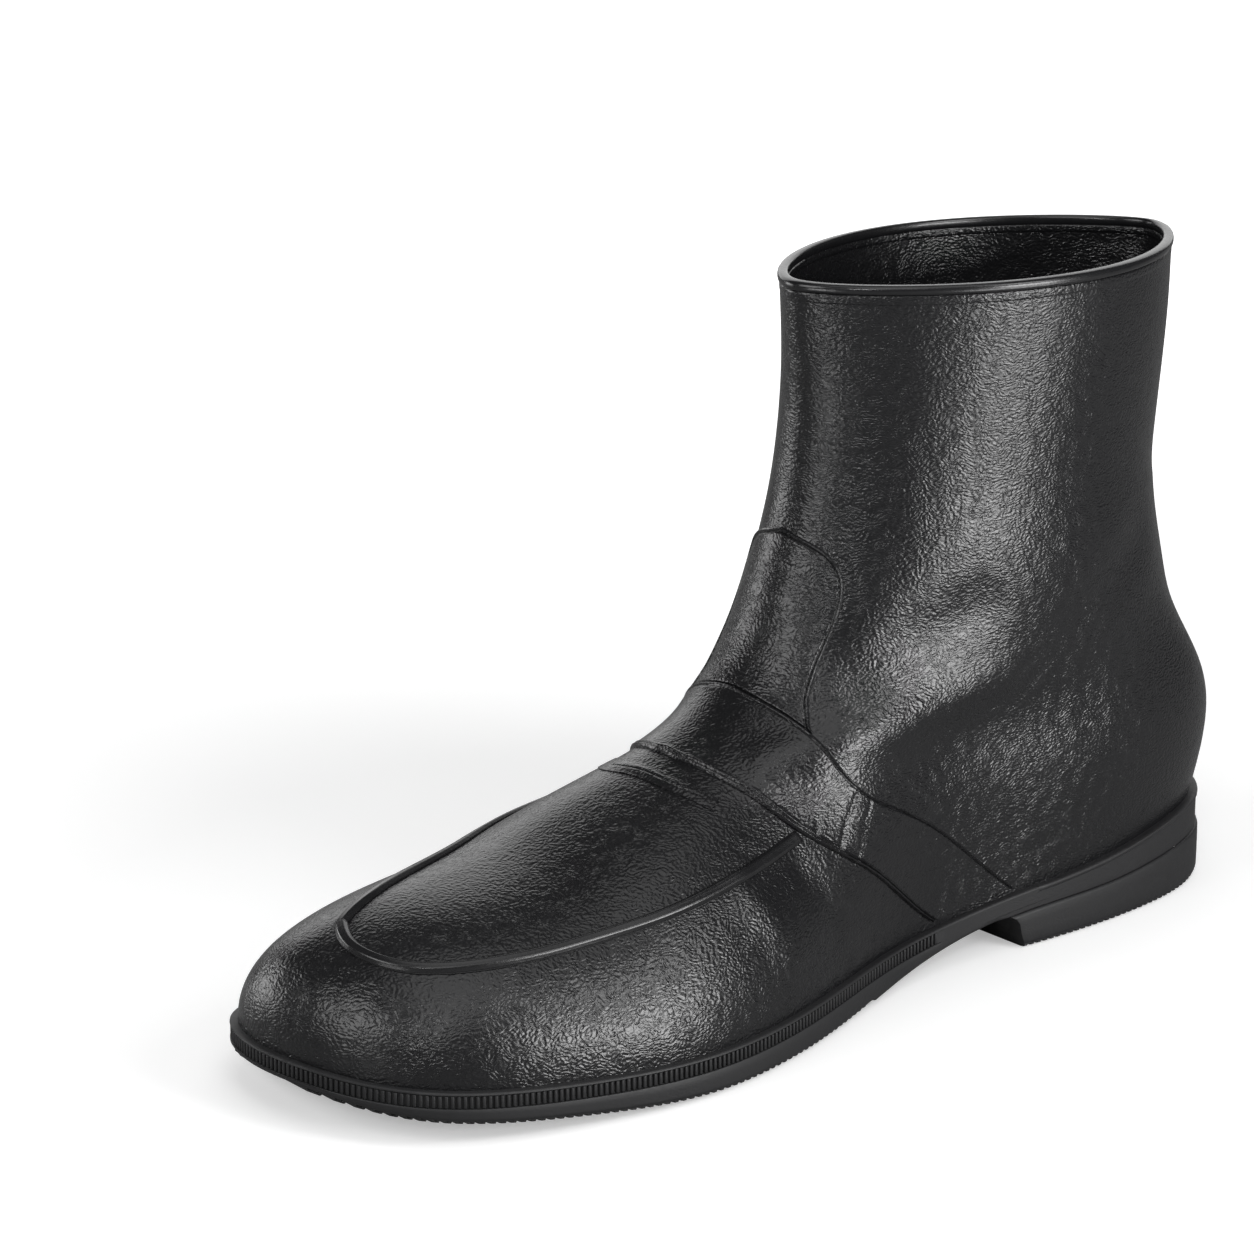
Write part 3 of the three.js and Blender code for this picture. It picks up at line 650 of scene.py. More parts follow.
def crinkle_group():
    """Fine meandering wrinkles moulded into the rubber, deeper in some patches than in others."""
    group, given, result = new_group(
        "crinkled_leather_grain",
        [
            ("Position", "NodeSocketVector", None),
            ("Fineness", "NodeSocketFloat", 1500.0),
            ("Shallow", "NodeSocketFloat", 0.25),
        ],
        [("Height", "NodeSocketFloat")],
    )
    links = group.links
    sway = add_node(group, "ShaderNodeTexNoise", Scale=240.0, Detail=0.0)
    links.new(given.outputs["Position"], sway.inputs["Vector"])
    bend = group.nodes.new("ShaderNodeVectorMath")
    bend.operation = "MULTIPLY_ADD"
    bend.inputs[1].default_value = WRINKLE_BEND
    links.new(sway.outputs["Color"], bend.inputs[0])
    links.new(given.outputs["Position"], bend.inputs[2])
    lie = group.nodes.new("ShaderNodeVectorMath")
    lie.operation = "MULTIPLY"
    lie.inputs[1].default_value = WRINKLE_SQUEEZE
    links.new(bend.outputs[0], lie.inputs[0])
    wrinkles = add_node(group, "ShaderNodeTexNoise", Detail=0.6, Roughness=0.45)
    links.new(lie.outputs[0], wrinkles.inputs["Vector"])
    links.new(given.outputs["Fineness"], wrinkles.inputs["Scale"])
    patches = add_node(group, "ShaderNodeTexNoise", Scale=34.0, Detail=1.0)
    links.new(given.outputs["Position"], patches.inputs["Vector"])
    depth = group.nodes.new("ShaderNodeMapRange")
    depth.inputs["From Min"].default_value = PATCH_RANGE[0]
    depth.inputs["From Max"].default_value = PATCH_RANGE[1]
    links.new(patches.outputs["Fac"], depth.inputs["Value"])
    links.new(given.outputs["Shallow"], depth.inputs["To Min"])
    height = math_node(group, "MULTIPLY", wrinkles.outputs["Fac"], depth.outputs["Result"])
    links.new(height, result.inputs["Height"])
    return group


def tone_group():
    """Slight unevenness of the rubber's black and of its shine."""
    group, given, result = new_group(
        "rubber_tone",
        [
            ("Position", "NodeSocketVector", None),
            ("Dark", "NodeSocketColor", (0.01, 0.01, 0.011, 1)),
            ("Light", "NodeSocketColor", (0.02, 0.02, 0.022, 1)),
            ("Glossy", "NodeSocketFloat", 0.34),
            ("Dull", "NodeSocketFloat", 0.46),
        ],
        [("Color", "NodeSocketColor"), ("Roughness", "NodeSocketFloat")],
    )
    links = group.links
    broad = add_node(group, "ShaderNodeTexNoise", Scale=22.0, Detail=3.0)
    links.new(given.outputs["Position"], broad.inputs["Vector"])
    fine = add_node(group, "ShaderNodeTexNoise", Scale=420.0, Detail=2.0)
    links.new(given.outputs["Position"], fine.inputs["Vector"])
    mixed = math_node(
        group,
        "ADD",
        math_node(group, "MULTIPLY", broad.outputs["Fac"], BROAD_SHARE),
        math_node(group, "MULTIPLY", fine.outputs["Fac"], FINE_SHARE),
    )
    colour = group.nodes.new("ShaderNodeMix")
    colour.data_type = "RGBA"
    links.new(mixed, colour.inputs[0])
    links.new(given.outputs["Dark"], colour.inputs[MIX_FIRST])
    links.new(given.outputs["Light"], colour.inputs[MIX_SECOND])
    links.new(colour.outputs[MIX_RESULT], result.inputs["Color"])
    shine = group.nodes.new("ShaderNodeMapRange")
    shine.inputs["From Min"].default_value = SHINE_RANGE[0]
    shine.inputs["From Max"].default_value = SHINE_RANGE[1]
    links.new(mixed, shine.inputs["Value"])
    links.new(given.outputs["Glossy"], shine.inputs["To Min"])
    links.new(given.outputs["Dull"], shine.inputs["To Max"])
    links.new(shine.outputs["Result"], result.inputs["Roughness"])
    return group


crinkles = crinkle_group()
tones = tone_group()


def rubber(name, dark, light, glossy, dull, fineness, shallow, relief):
    """A black rubber. fineness: cells of its grain per metre. relief: depth of its grain in millimetres."""
    material = bpy.data.materials.new(name)
    material.use_nodes = True
    tree = material.node_tree
    shader = tree.nodes["Principled BSDF"]
    place = tree.nodes.new("ShaderNodeTexCoord").outputs["Object"]
    tone = tree.nodes.new("ShaderNodeGroup")
    tone.node_tree = tones
    tone.inputs["Dark"].default_value = (*dark, 1)
    tone.inputs["Light"].default_value = (*light, 1)
    tone.inputs["Glossy"].default_value = glossy
    tone.inputs["Dull"].default_value = dull
    grain = tree.nodes.new("ShaderNodeGroup")
    grain.node_tree = crinkles
    grain.inputs["Fineness"].default_value = fineness
    grain.inputs["Shallow"].default_value = shallow
    bump = add_node(tree, "ShaderNodeBump", Strength=1.0, Distance=relief / 1000)
    tree.links.new(place, tone.inputs["Position"])
    tree.links.new(place, grain.inputs["Position"])
    tree.links.new(tone.outputs["Color"], shader.inputs["Base Color"])
    tree.links.new(tone.outputs["Roughness"], shader.inputs["Roughness"])
    tree.links.new(grain.outputs["Height"], bump.inputs["Height"])
    tree.links.new(bump.outputs["Normal"], shader.inputs["Normal"])
    return material


grained_rubber = rubber(
    "grained_black_rubber",
    dark=(0.005, 0.005, 0.0055),
    light=(0.009, 0.009, 0.01),
    glossy=0.23,
    dull=0.29,
    fineness=1750.0,
    shallow=0.85,
    relief=0.25,
)
smooth_rubber = rubber(
    "smooth_black_rubber",
    dark=(0.006, 0.006, 0.0065),
    light=(0.01, 0.01, 0.011),
    glossy=0.2,
    dull=0.27,
    fineness=1600.0,
    shallow=0.5,
    relief=0.03,
)
sole_rubber = rubber(
    "matt_sole_rubber",
    dark=(0.009, 0.009, 0.01),
    light=(0.015, 0.015, 0.016),
    glossy=0.5,
    dull=0.62,
    fineness=1600.0,
    shallow=0.6,
    relief=0.05,
)

# The upper: under the foot, up the outer wall, over the top edge and down inside to the insole, in one sheet.
AROUND = 300
UP_STEPS = 170
INNER_STEPS = 44
around = np.linspace(-1, 1, AROUND + 1)
under_shares = np.array([0.0, 0.3, 0.6, 0.85, 0.96])
rising = np.linspace(0, 1, UP_STEPS + 1)
plate_top = FLOOR_PLATE / rear_run[-1]
falling = np.linspace(1, plate_top, INNER_STEPS + 1)


def across_foot(edge, shares):
    """Rows from the middle of the foot out to an edge line that runs from -1 to 1."""
    middle = (edge + edge[::-1]) / 2
    return [lerp(middle, edge, share) for share in shares]


outer_wall = skin(rising[:, None], around[None, :])
inner_base = outer_point(falling[:, None], around[None, :])
inner_out = -WALL + fold_lift(inner_base)
inner_wall = inner_base + outer_normal(falling[:, None], around[None, :]) * inner_out[..., None]
rows = (
    across_foot(outer_wall[0], under_shares)
    + list(outer_wall)
    + list(inner_wall)
    + across_foot(inner_wall[-1], under_shares[::-1])
)
upper_shell = sheet("upper_shell", np.array(rows))
weld(upper_shell, outwards=True)
dress(upper_shell, grained_rubber, "upper_rubber", "upper", angle=60)


def rounded_step(distance, radius):
    """0 at an edge, 1 from the radius on, along a quarter circle."""
    inside = np.clip(1 - distance / radius, 0, 1)
    return np.sqrt(1 - inside * inside)


def groove(distance, at, reach):
    return np.exp(-(((distance - at) / reach) ** 2))


def edge_spacing(width, fine, coarse):
    """Shares across a strip of that width, fine near both edges."""
    half = np.concatenate([fine, np.arange(fine[-1] + coarse, width / 2, coarse)])
    return np.concatenate([half, width - half[::-1]]) / width


FINE_EDGE = np.array([0.0, 0.12, 0.28, 0.45, 0.62, 0.8, 1.0, 1.2, 1.45, 1.7, 1.95, 2.2, 2.5, 3.0, 3.8])
SADDLE_LIFT = 1.0
TONGUE_LIFT = 0.7
SUNK = 0.3
LOWEST = 0.012  # up share at which the saddle ends, just above the welt
SEAM_READINGS = 4001
SADDLE_WIDTH = 27.0
SADDLE_COLUMNS = 641
SADDLE_ROUNDING = 0.9
TONGUE_ROUNDING = 0.6


def fine_lines(distance, lines):
    """The lips and grooves along an edge, by the distance from it."""
    return sum(height * groove(distance, at, reach) for at, reach, height in lines)


def above_welt(line, steps):
    """Up and round along a seam, from just above the welt on one side to the same on the other."""
    up, turn = line(np.linspace(0, 1, SEAM_READINGS))
    keep = up >= LOWEST
    run = running_length(turn[keep], up[keep])
    even = np.linspace(0, run[-1], steps)
    return np.interp(even, run, up[keep]), np.interp(even, run, turn[keep])


# The saddle over the instep, with fine double lines at its edges and pleats at both sides.
# Each line: distance from the edge, reach, and height or depth, in millimetres.
SADDLE_FRONT_LINES = [(0.85, 0.3, 0.2), (1.4, 0.24, -0.3), (1.95, 0.3, 0.2)]
SADDLE_BACK_LINES = [(0.7, 0.3, 0.26), (1.3, 0.28, -0.28)]
TONGUE_LINES = [(0.65, 0.3, 0.3), (1.3, 0.28, -0.34)]
saddle_shares = edge_spacing(SADDLE_WIDTH, FINE_EDGE, 1.1)
front_up, front_around = above_welt(saddle_front, SADDLE_COLUMNS)
back_up, back_around = above_welt(saddle_back, SADDLE_COLUMNS)
saddle_up = lerp(front_up[None, :], back_up[None, :], saddle_shares[:, None])
saddle_around = lerp(front_around[None, :], back_around[None, :], saddle_shares[:, None])
saddle_base = outer_point(saddle_up, saddle_around)
steps_across = np.linalg.norm(np.diff(saddle_base, axis=0), axis=-1)
from_front = np.concatenate([np.zeros((1, steps_across.shape[1])), np.cumsum(steps_across, axis=0)])
from_back = from_front[-1] - from_front
# Each: places (round, up) along it, how far it reaches and how deep it is.
PLEATS = [
    ([(0.405, 0.345), (0.438, 0.185)], 0.5, -0.55),
    ([(0.428, 0.325), (0.46, 0.165)], 0.45, -0.4),
    ([(0.382, 0.31), (0.4, 0.25)], 0.45, -0.4),
    ([(-0.41, 0.34), (-0.44, 0.2)], 0.5, -0.4),
]
edge_distance = np.minimum(from_front, from_back)
saddle_lift = (SADDLE_LIFT + SUNK) * rounded_step(edge_distance, SADDLE_ROUNDING) - SUNK
saddle_lift += fine_lines(from_front, SADDLE_FRONT_LINES) + fine_lines(from_back, SADDLE_BACK_LINES)
for places, reach, height in PLEATS:
    saddle_lift += height * np.exp(-((nearest(saddle_base, divided(places)) / reach) ** 2))
saddle = sheet("instep_saddle", skin(saddle_up, saddle_around, saddle_lift)[::-1, ::-1])
thicken(saddle, 0.8)
dress(saddle, grained_rubber, "upper_rubber", "saddle_strap", angle=60)

# The tongue panel, between the saddle's back edge and its own arched edge.
TONGUE_HEIGHT = 26.0
TONGUE_COLUMNS = 241
HALF_COLUMNS = (TONGUE_COLUMNS + 1) // 2
edge_up, edge_around = tongue_edge(np.linspace(0, 1, TONGUE_COLUMNS))
edge_run = running_length(TONGUE_EDGE["round"], TONGUE_EDGE["up"])
half_foot = natural_cubic(edge_run, TONGUE_EDGE["foot"])(np.linspace(0, edge_run[-1], HALF_COLUMNS))
foot_around = np.concatenate([-half_foot[:0:-1], half_foot])
dense_up, dense_around = saddle_back(np.linspace(0, 1, SEAM_READINGS))
foot_up = np.interp(foot_around, dense_around, dense_up)
tongue_shares = edge_spacing(TONGUE_HEIGHT, FINE_EDGE, 1.0)
tongue_up = lerp(foot_up[None, :], edge_up[None, :], tongue_shares[:, None])
tongue_around = lerp(foot_around[None, :], edge_around[None, :], tongue_shares[:, None])
tongue_base = outer_point(tongue_up, tongue_around)
from_edge = nearest(tongue_base, outer_point(edge_up, edge_around))
from_foot = nearest(tongue_base, outer_point(foot_up, foot_around)[::4])
tongue_lift = (TONGUE_LIFT + SUNK) * rounded_step(np.minimum(from_edge, from_foot), TONGUE_ROUNDING) - SUNK
tongue_lift += fine_lines(from_edge, TONGUE_LINES)
tongue = sheet("tongue_panel_moulding", skin(tongue_up, tongue_around, tongue_lift))
thicken(tongue, 0.7)
dress(tongue, grained_rubber, "upper_rubber", "tongue_panel", angle=60)


def laid_strip(name, line, steps, sides, lift_at):
    """A narrow strip along a seam. sides: places across it. lift_at(side, run): its height on the upper."""
    up, turn = line(np.linspace(0, 1, steps + 1))
    spine = skin(up, turn)
    normal = outer_normal(up, turn)
    along = np.gradient(spine, axis=0)
    across = unit(np.cross(along, normal))
    run = run_along(spine)
    side = np.asarray(sides)[:, None]
    lift = lift_at(side, run[None, :])
    points = spine[None] + across[None] * side[..., None] + normal[None] * lift[..., None]
    return sheet(name, points)


# The raised apron seam: a narrow flat-topped bead with sloping flanks.
BEAD_HEIGHT = 0.95
BEAD_FOOT = 1.5
BEAD_FLANK = 0.85
BEAD_END = 1.2
BEAD_HALF = np.array([0.0, 0.3, 0.5, 0.65, 0.8, 0.95, 1.1, 1.25, 1.4, 1.5, 1.6, 1.8])
BEAD_SIDES = np.concatenate([-BEAD_HALF[:0:-1], BEAD_HALF])


def bead_lift(side, run):
    off = np.abs(side)
    ends = rounded_step(np.minimum(run, run.max() - run), BEAD_END)
    bead = BEAD_HEIGHT * np.clip((BEAD_FOOT - off) / BEAD_FLANK, 0, 1) ** 0.8 + 0.1 * groove(off, 0.65, 0.2)
    return bead * ends + 0.06 - 0.12 * off


apron_bead = laid_strip("apron_bead", apron_seam, 560, BEAD_SIDES, bead_lift)
thicken(apron_bead, 0.4)
dress(apron_bead, smooth_rubber, "trim_rubber", "apron_piping", angle=60)

# A fine crease across the vamp, ahead of the saddle.
VAMP_CREASE = table(
    "round up",
    (-0.2, 0.425),
    (-0.1, 0.464),
    (0.0, 0.483),
    (0.06, 0.479),
    (0.118, 0.4636),
    (0.196, 0.43),
    (0.23, 0.409),
)
CREASE_HALF = np.array([0.0, 0.25, 0.45, 0.65, 0.9, 1.2, 1.6, 2.1, 2.6])
CREASE_SIDES = np.concatenate([-CREASE_HALF[:0:-1], CREASE_HALF])
CREASE_DEPTH = 0.28
CREASE_SWELLING = 0.24
CREASE_FADE = 12


def crease_lift(side, run):
    off = np.abs(side)
    ends = smoothstep(np.minimum(run, run.max() - run), 0, CREASE_FADE)
    swelling = CREASE_SWELLING * (1 - smoothstep(off, 0.6, 2.5)) * ends
    return swelling - CREASE_DEPTH * groove(side, 0.0, 0.3) * ends - 0.05 - 0.02 * off


vamp_crease = laid_strip("vamp_crease", seam_line(VAMP_CREASE), 240, CREASE_SIDES, crease_lift)
thicken(vamp_crease, 0.4)
dress(vamp_crease, grained_rubber, "upper_rubber", "upper", angle=60)

# The seam tape on the inner side, with two moulded rows of stitches.
STITCH_PITCH = 2.3
STITCH_ROW = 1.15
TAPE_HALF = 2.3
TAPE_SIDES = np.concatenate([[-TAPE_HALF, -2.1, -1.9], np.linspace(-1.7, 1.7, 15), [1.9, 2.1, TAPE_HALF]])


def tape_lift(side, run):
    off = np.abs(side)
    band = (SKIN_GAP + 0.25) * np.clip((TAPE_HALF - off) / 0.35, 0, 1)
    phase = np.abs((run / STITCH_PITCH) % 1 - 0.5) * 2
    stitch = smoothstep(1 - phase, 0.22, 0.5)
    row = groove(off, STITCH_ROW, 0.3)
    return band - 0.3 + row * (0.42 * stitch - 0.2)


seam_tape = laid_strip("stitched_seam_tape", tape_line, 480, TAPE_SIDES, tape_lift)
thicken(seam_tape, 0.4)
dress(seam_tape, smooth_rubber, "trim_rubber", "seam_tape", angle=50)

# The rim: the wall's top band, and on it a flat-topped lip with a fine groove under it.
# Each: rise over the wall's top edge, and out from its outer face.
BAND_SECTION = [
    (-2.0, -0.3), (-1.8, 0.0), (-1.4, 0.09), (-0.8, 0.1), (0.0, 0.1), (0.45, 0.08), (0.65, -0.05),
    (0.7, -0.4), (0.7, -1.9), (0.6, -2.2), (0.2, -2.3), (-0.8, -2.3), (-1.4, -2.22), (-1.6, -1.8),
]
RIM_LIP_SECTION = [
    (0.6, -0.7), (0.7, -0.1), (0.85, 0.24), (1.1, 0.44), (1.5, 0.55), (2.1, 0.57), (2.6, 0.48),
    (2.95, 0.24), (3.12, -0.1), (3.18, -0.5), (3.2, -1.3), (3.12, -1.85), (2.85, -2.15), (2.3, -2.3),
    (1.4, -2.34), (0.8, -2.26), (0.5, -2.0), (0.5, -1.2), (0.6, -0.7),
]
RIM_READING = 0.01  # how far down the top edge's slope is read
below_rim = outer_point(1 - RIM_READING, around)
rim_line = outer_point(1.0, around)
rim_slope = (rim_line[:, 2] - below_rim[:, 2]) / RIM_READING


def rim_row(rise, out):
    level = 1 + min(rise, 0) / rim_slope
    place = outer_point(level, around) + outer_normal(np.minimum(level, 0.996), around) * out
    place[:, 2] += max(rise, 0)
    return place


top_band = sheet("wall_top_band", np.array([rim_row(*place) for place in BAND_SECTION]))
weld(top_band)
thicken(top_band, 0.2)
dress(top_band, grained_rubber, "trim_rubber", "rim_binding", angle=60)
rim_lip = sheet("rim_lip", np.array([rim_row(*place) for place in RIM_LIP_SECTION]))
weld(rim_lip, outwards=True)
dress(rim_lip, smooth_rubber, "trim_rubber", "rim_binding", angle=60)

# The outsole: underside, rounded lower edge, side with a recess for the welt's ribs, and the ledge over them.
RECESS = 0.75
LEDGE = 0.75
RIB_HEIGHT = 3.2
RIB_THICKNESS = 0.9
RIB_OUT = 1.25
RIB_ROUNDING = 0.3
SOLE_COLUMNS = 641
TREAD_START = 149.0
sole_around = np.linspace(-1, 1, SOLE_COLUMNS)


def welt_zone(turn):
    return 1 - smoothstep(np.abs(turn), WELT_END - 0.005, WELT_END)


def tread_zone(s):
    return smoothstep(s, TREAD_START - 2, TREAD_START)


def sole_floor(s):
    return tread_height(s) + TREAD_DEPTH * tread_zone(s)


def edge_round(s):
    """How much of its rounding the sole's lower edge keeps: little over the heel, all of it ahead."""
    return lerp(0.15, 1.0, smoothstep(s, HEEL_LENGTH - 1, HEEL_LENGTH + 4))


def sole_row(out, height):
    """A row of the sole's side. height(s): its height over the floor."""
    points = sole_plan(sole_around, np.broadcast_to(out, sole_around.shape))
    points[:, 2] = height(station(points))
    return points


def lower_edge(inset, rise):
    """A row of the sole's rounded lower edge."""
    plain = station(sole_plan(sole_around, np.full(sole_around.shape, WELT)))
    share = edge_round(plain)
    return sole_row(WELT - inset * share, lambda s: sole_floor(s) + rise * edge_round(s))


zone = welt_zone(sole_around)
ledge_height = LEDGE + RIB_HEIGHT
# Each: in from the sole's widest, and rise over its floor.
EDGE_SECTION = [(1.5, 0.0), (0.8, 0.1), (0.3, 0.4), (0.05, 0.8), (0.0, 1.3)]
# Each: in from the sole's widest, in along the ribs only, and rise over the feather line.
SIDE_SECTION = [
    (0.0, 0.0, -ledge_height - 0.35),
    (0.0, 0.12, -ledge_height - 0.12),
    (0.0, RECESS, -ledge_height),
    (0.0, RECESS, -ledge_height / 2),
    (0.0, RECESS, -LEDGE),
    (0.0, 0.12, 0.1 - LEDGE),
    (0.0, 0.0, 0.25 - LEDGE),
    (0.05, 0.0, -0.2),
    (0.3, 0.0, 0.03),
    (0.8, 0.0, 0.1),
    (3.0, 0.0, 0.1),
]
side_rows = [lower_edge(inset, rise) for inset, rise in EDGE_SECTION]
side_rows.append(sole_row(WELT, lambda s: lerp(sole_floor(s) + 1.3, feather_height(s) - ledge_height, 0.5)))
for inset, recess, rise in SIDE_SECTION:
    side_rows.append(sole_row(WELT - inset - recess * zone, lambda s: feather_height(s) + rise))


def closing_rows(edge, shares, height):
    made = across_foot(edge, shares)
    for points in made:
        points[:, 2] = height(station(points))
    return made


rows = (
    closing_rows(side_rows[0], under_shares, sole_floor)
    + side_rows
    + closing_rows(side_rows[-1], under_shares[::-1], lambda s: feather_height(s) + 0.1)
)
outsole = sheet("outsole_moulding", np.array(rows))
weld(outsole, outwards=True)
dress(outsole, sole_rubber, "sole_rubber", "outsole", angle=40)


def along_outline(turns, out):
    """Running length and places of the sole's outline at the given turns."""
    points = sole_plan(turns, np.full(turns.shape, out))
    return points, run_along(points[:, :2])


def rib_master():
    """One rib of the welt: an upright bar with rounded outer edges, standing on x = 0 and facing +x."""
    bpy.ops.object.select_all(action="DESELECT")
    bpy.ops.mesh.primitive_cube_add(size=1)
    rib = bpy.context.active_object
    rib.scale = (RIB_OUT / 1000, RIB_THICKNESS / 1000, RIB_HEIGHT / 1000)
    bpy.ops.object.transform_apply(location=False, rotation=False, scale=True)
    edge = rib.modifiers.new("edge", "BEVEL")
    edge.width = RIB_ROUNDING / 1000
    edge.segments = 2
    apply(rib, edge)
    return rib


def welt_ribs():
    """The ribs of the welt, each a copy of one bar, in a row along the sole's edge."""
    rib = rib_master()
    corners = np.array([v.co for v in rib.data.vertices]) * 1000
    faces = [tuple(p.vertices) for p in rib.data.polygons]
    turns = np.linspace(-WELT_END + 0.004, WELT_END - 0.004, 4001)
    points, run = along_outline(turns, WELT - RECESS)
    count = int(run[-1] / RIB_PITCH)
    places = (np.arange(count) + 0.5) * run[-1] / count
    x = np.interp(places, run, points[:, 0])
    y = np.interp(places, run, points[:, 1])
    heading = np.gradient(points[:, :2], run, axis=0)
    hx = np.interp(places, run, heading[:, 0])
    hy = np.interp(places, run, heading[:, 1])
    length = np.hypot(hx, hy)
    hx = hx / length
    hy = hy / length
    all_corners = []
    all_faces = []
    for i in range(count):
        s = SOLE_LENGTH / 2 - y[i]
        middle = feather_height(s) - LEDGE - RIB_HEIGHT / 2
        slope = (feather_height(s + 0.5) - feather_height(s - 0.5)) * -hy[i]
        placed = np.empty_like(corners)
        placed[:, 0] = x[i] + hy[i] * corners[:, 0] + hx[i] * corners[:, 1]
        placed[:, 1] = y[i] - hx[i] * corners[:, 0] + hy[i] * corners[:, 1]
        placed[:, 2] = middle + corners[:, 2] + slope * corners[:, 1]
        all_faces += [tuple(v + len(corners) * i for v in face) for face in faces]
        all_corners.append(placed)
    mesh = bpy.data.meshes.new("welt_ribs")
    mesh.from_pydata(in_row_frame(np.concatenate(all_corners)).tolist(), [], all_faces)
    bpy.data.objects.remove(rib)
    piece = bpy.data.objects.new("welt_ribs", mesh)
    bpy.context.scene.collection.objects.link(piece)
    return piece


ribs = welt_ribs()
dress(ribs, sole_rubber, "sole_rubber", "welt_strip", angle=50)

# The plain lip round the heel.
# Each: out from the sole's edge, and rise over the feather line.
HEEL_LIP_SECTION = [
    (-1.0, 0.1), (-0.1, 0.1), (0.3, -0.1), (0.4, -0.5), (0.36, -1.0), (0.1, -1.35),
    (-0.2, -1.5), (-1.0, -1.5), (-1.0, 0.1),
]
HEEL_LIP_START = 0.652
LIP_COLUMNS = 241
LIP_TAPER = 5.0  # columns over which each end of the lip fades out
lip_turns = wrap(np.linspace(HEEL_LIP_START, 2 - HEEL_LIP_START, LIP_COLUMNS))
lip_rows = []
lip_end = np.minimum(np.arange(LIP_COLUMNS), np.arange(LIP_COLUMNS)[::-1])
lip_taper = rounded_step(lip_end, LIP_TAPER)
for out, rise in HEEL_LIP_SECTION:
    points = sole_plan(lip_turns, WELT + np.minimum(out, 0) + max(out, 0) * lip_taper)
    points[:, 2] = feather_height(station(points)) + rise
    lip_rows.append(points)
heel_lip = sheet("heel_lip_moulding", np.array(lip_rows)[::-1])
weld(heel_lip)
close_shell(heel_lip, bpy.ops.mesh.edge_face_add)
dress(heel_lip, sole_rubber, "sole_rubber", "heel_lip", angle=50)

# The heel block, with a leaning breast.
HEEL_AROUND = 150
BREAST_COLUMNS = 14


def heel_row(breast, out, height):
    start = math.acos(2 * (breast - HEEL_BACK) / FOOT_LENGTH - 1) / math.pi
    arc = sole_plan(wrap(np.linspace(start, 2 - start, HEEL_AROUND)), np.full(HEEL_AROUND, out))
    straight = lerp(arc[-1], arc[0], np.linspace(0, 1, BREAST_COLUMNS + 2)[1:, None])
    points = np.concatenate([arc, straight])
    points[:, 2] = height(station(points))
    return points


def heel_top(s):
    return tread_height(s) - 0.05


HEEL_FOOT = HEEL_LENGTH - HEEL_BREAST_LEAN
widest = WELT + HEEL_FLARE
# Each: its breast ahead of the heel's foot, in from the heel's widest, and its height: a share of the way up
# and a rise over that.
HEEL_SECTION = [
    (0.5, HEEL_ROUNDING, 0.0, 0.0),
    (0.5, 0.7, 0.0, 0.15),
    (0.6, 0.25, 0.0, 0.6),
    (0.9, 0.05, 0.0, 1.3),
    (1.8, 0.0, 0.4, 0.0),
    (2.4, 0.0, 0.7, 0.0),
    (3.6, 0.06, 1.0, -0.9),
    (4.6, 0.2, 1.0, -0.4),
    (HEEL_BREAST_LEAN, 0.5, 1.0, -0.08),
    (HEEL_BREAST_LEAN, HEEL_FLARE + 0.15, 1.0, 0.0),
]
heel_rows = [
    heel_row(HEEL_FOOT + ahead, widest - inset, lambda s: lerp(TREAD_DEPTH, heel_top(s), share) + rise)
    for ahead, inset, share, rise in HEEL_SECTION
]
heel_block = sheet("heel_block_moulding", np.array(heel_rows))
weld(heel_block)
close_shell(heel_block, bpy.ops.mesh.fill)
round_edges(heel_block, 0.5, 50)
dress(heel_block, sole_rubber, "sole_rubber", "heel_block", angle=40)


TREAD_READINGS = 1201
TREAD_WAVE = np.array([0.04, 0.1, 0.5, 0.56])  # shares of a pitch where a rib starts and ends
TREAD_SHARES = np.array([0, 0.012, 0.03, 0.1, 0.25, 0.4, 0.5, 0.6, 0.75, 0.9, 0.97, 0.988, 1.0])
TREAD_EDGE = np.array([0.45, 0.1, 0, 0, 0, 0, 0, 0, 0, 0, 0, 0.1, 0.45])  # how far its rim closes each gap


def tread_plate(name, first, last, out, height):
    """A plate with ribs across the sole between two stations. height(s): the floor of its ribs."""
    turns = np.linspace(0, 1, TREAD_READINGS)
    lateral = sole_plan(turns, np.full(TREAD_READINGS, out))
    medial = sole_plan(-turns, np.full(TREAD_READINGS, out))
    pitches = int((last - first) / TREAD_PITCH)
    starts = last - TREAD_PITCH * np.arange(pitches + 1)[::-1]
    stations = (starts[:, None] + TREAD_PITCH * TREAD_WAVE).ravel()
    raised = np.tile([1.0, 0.0, 0.0, 1.0], pitches + 1)
    keep = (stations > first) & (stations < last)
    stations = stations[keep]
    raised = raised[keep]
    right = np.interp(stations, station(lateral)[::-1], lateral[::-1, 0])
    left = np.interp(stations, station(medial)[::-1], medial[::-1, 0])
    x = lerp(left[:, None], right[:, None], TREAD_SHARES[None, :])
    y = np.broadcast_to(SOLE_LENGTH / 2 - stations[:, None], x.shape)
    low = height(stations)[:, None] + (TREAD_DEPTH - 0.1) * np.maximum(raised[:, None], TREAD_EDGE[None, :])
    plate = sheet(name, np.stack([x, y, low], -1))
    thicken(plate, 0.8)
    return plate


fore_tread = tread_plate("forepart_tread", TREAD_START, SOLE_LENGTH - 1.8, WELT - 1.0, tread_height)
dress(fore_tread, sole_rubber, "sole_rubber", "outsole", angle=30)
heel_tread = tread_plate("heel_tread", 0.2, HEEL_FOOT, widest - 0.75, lambda s: 0 * s)
dress(heel_tread, sole_rubber, "sole_rubber", "heel_block", angle=30)

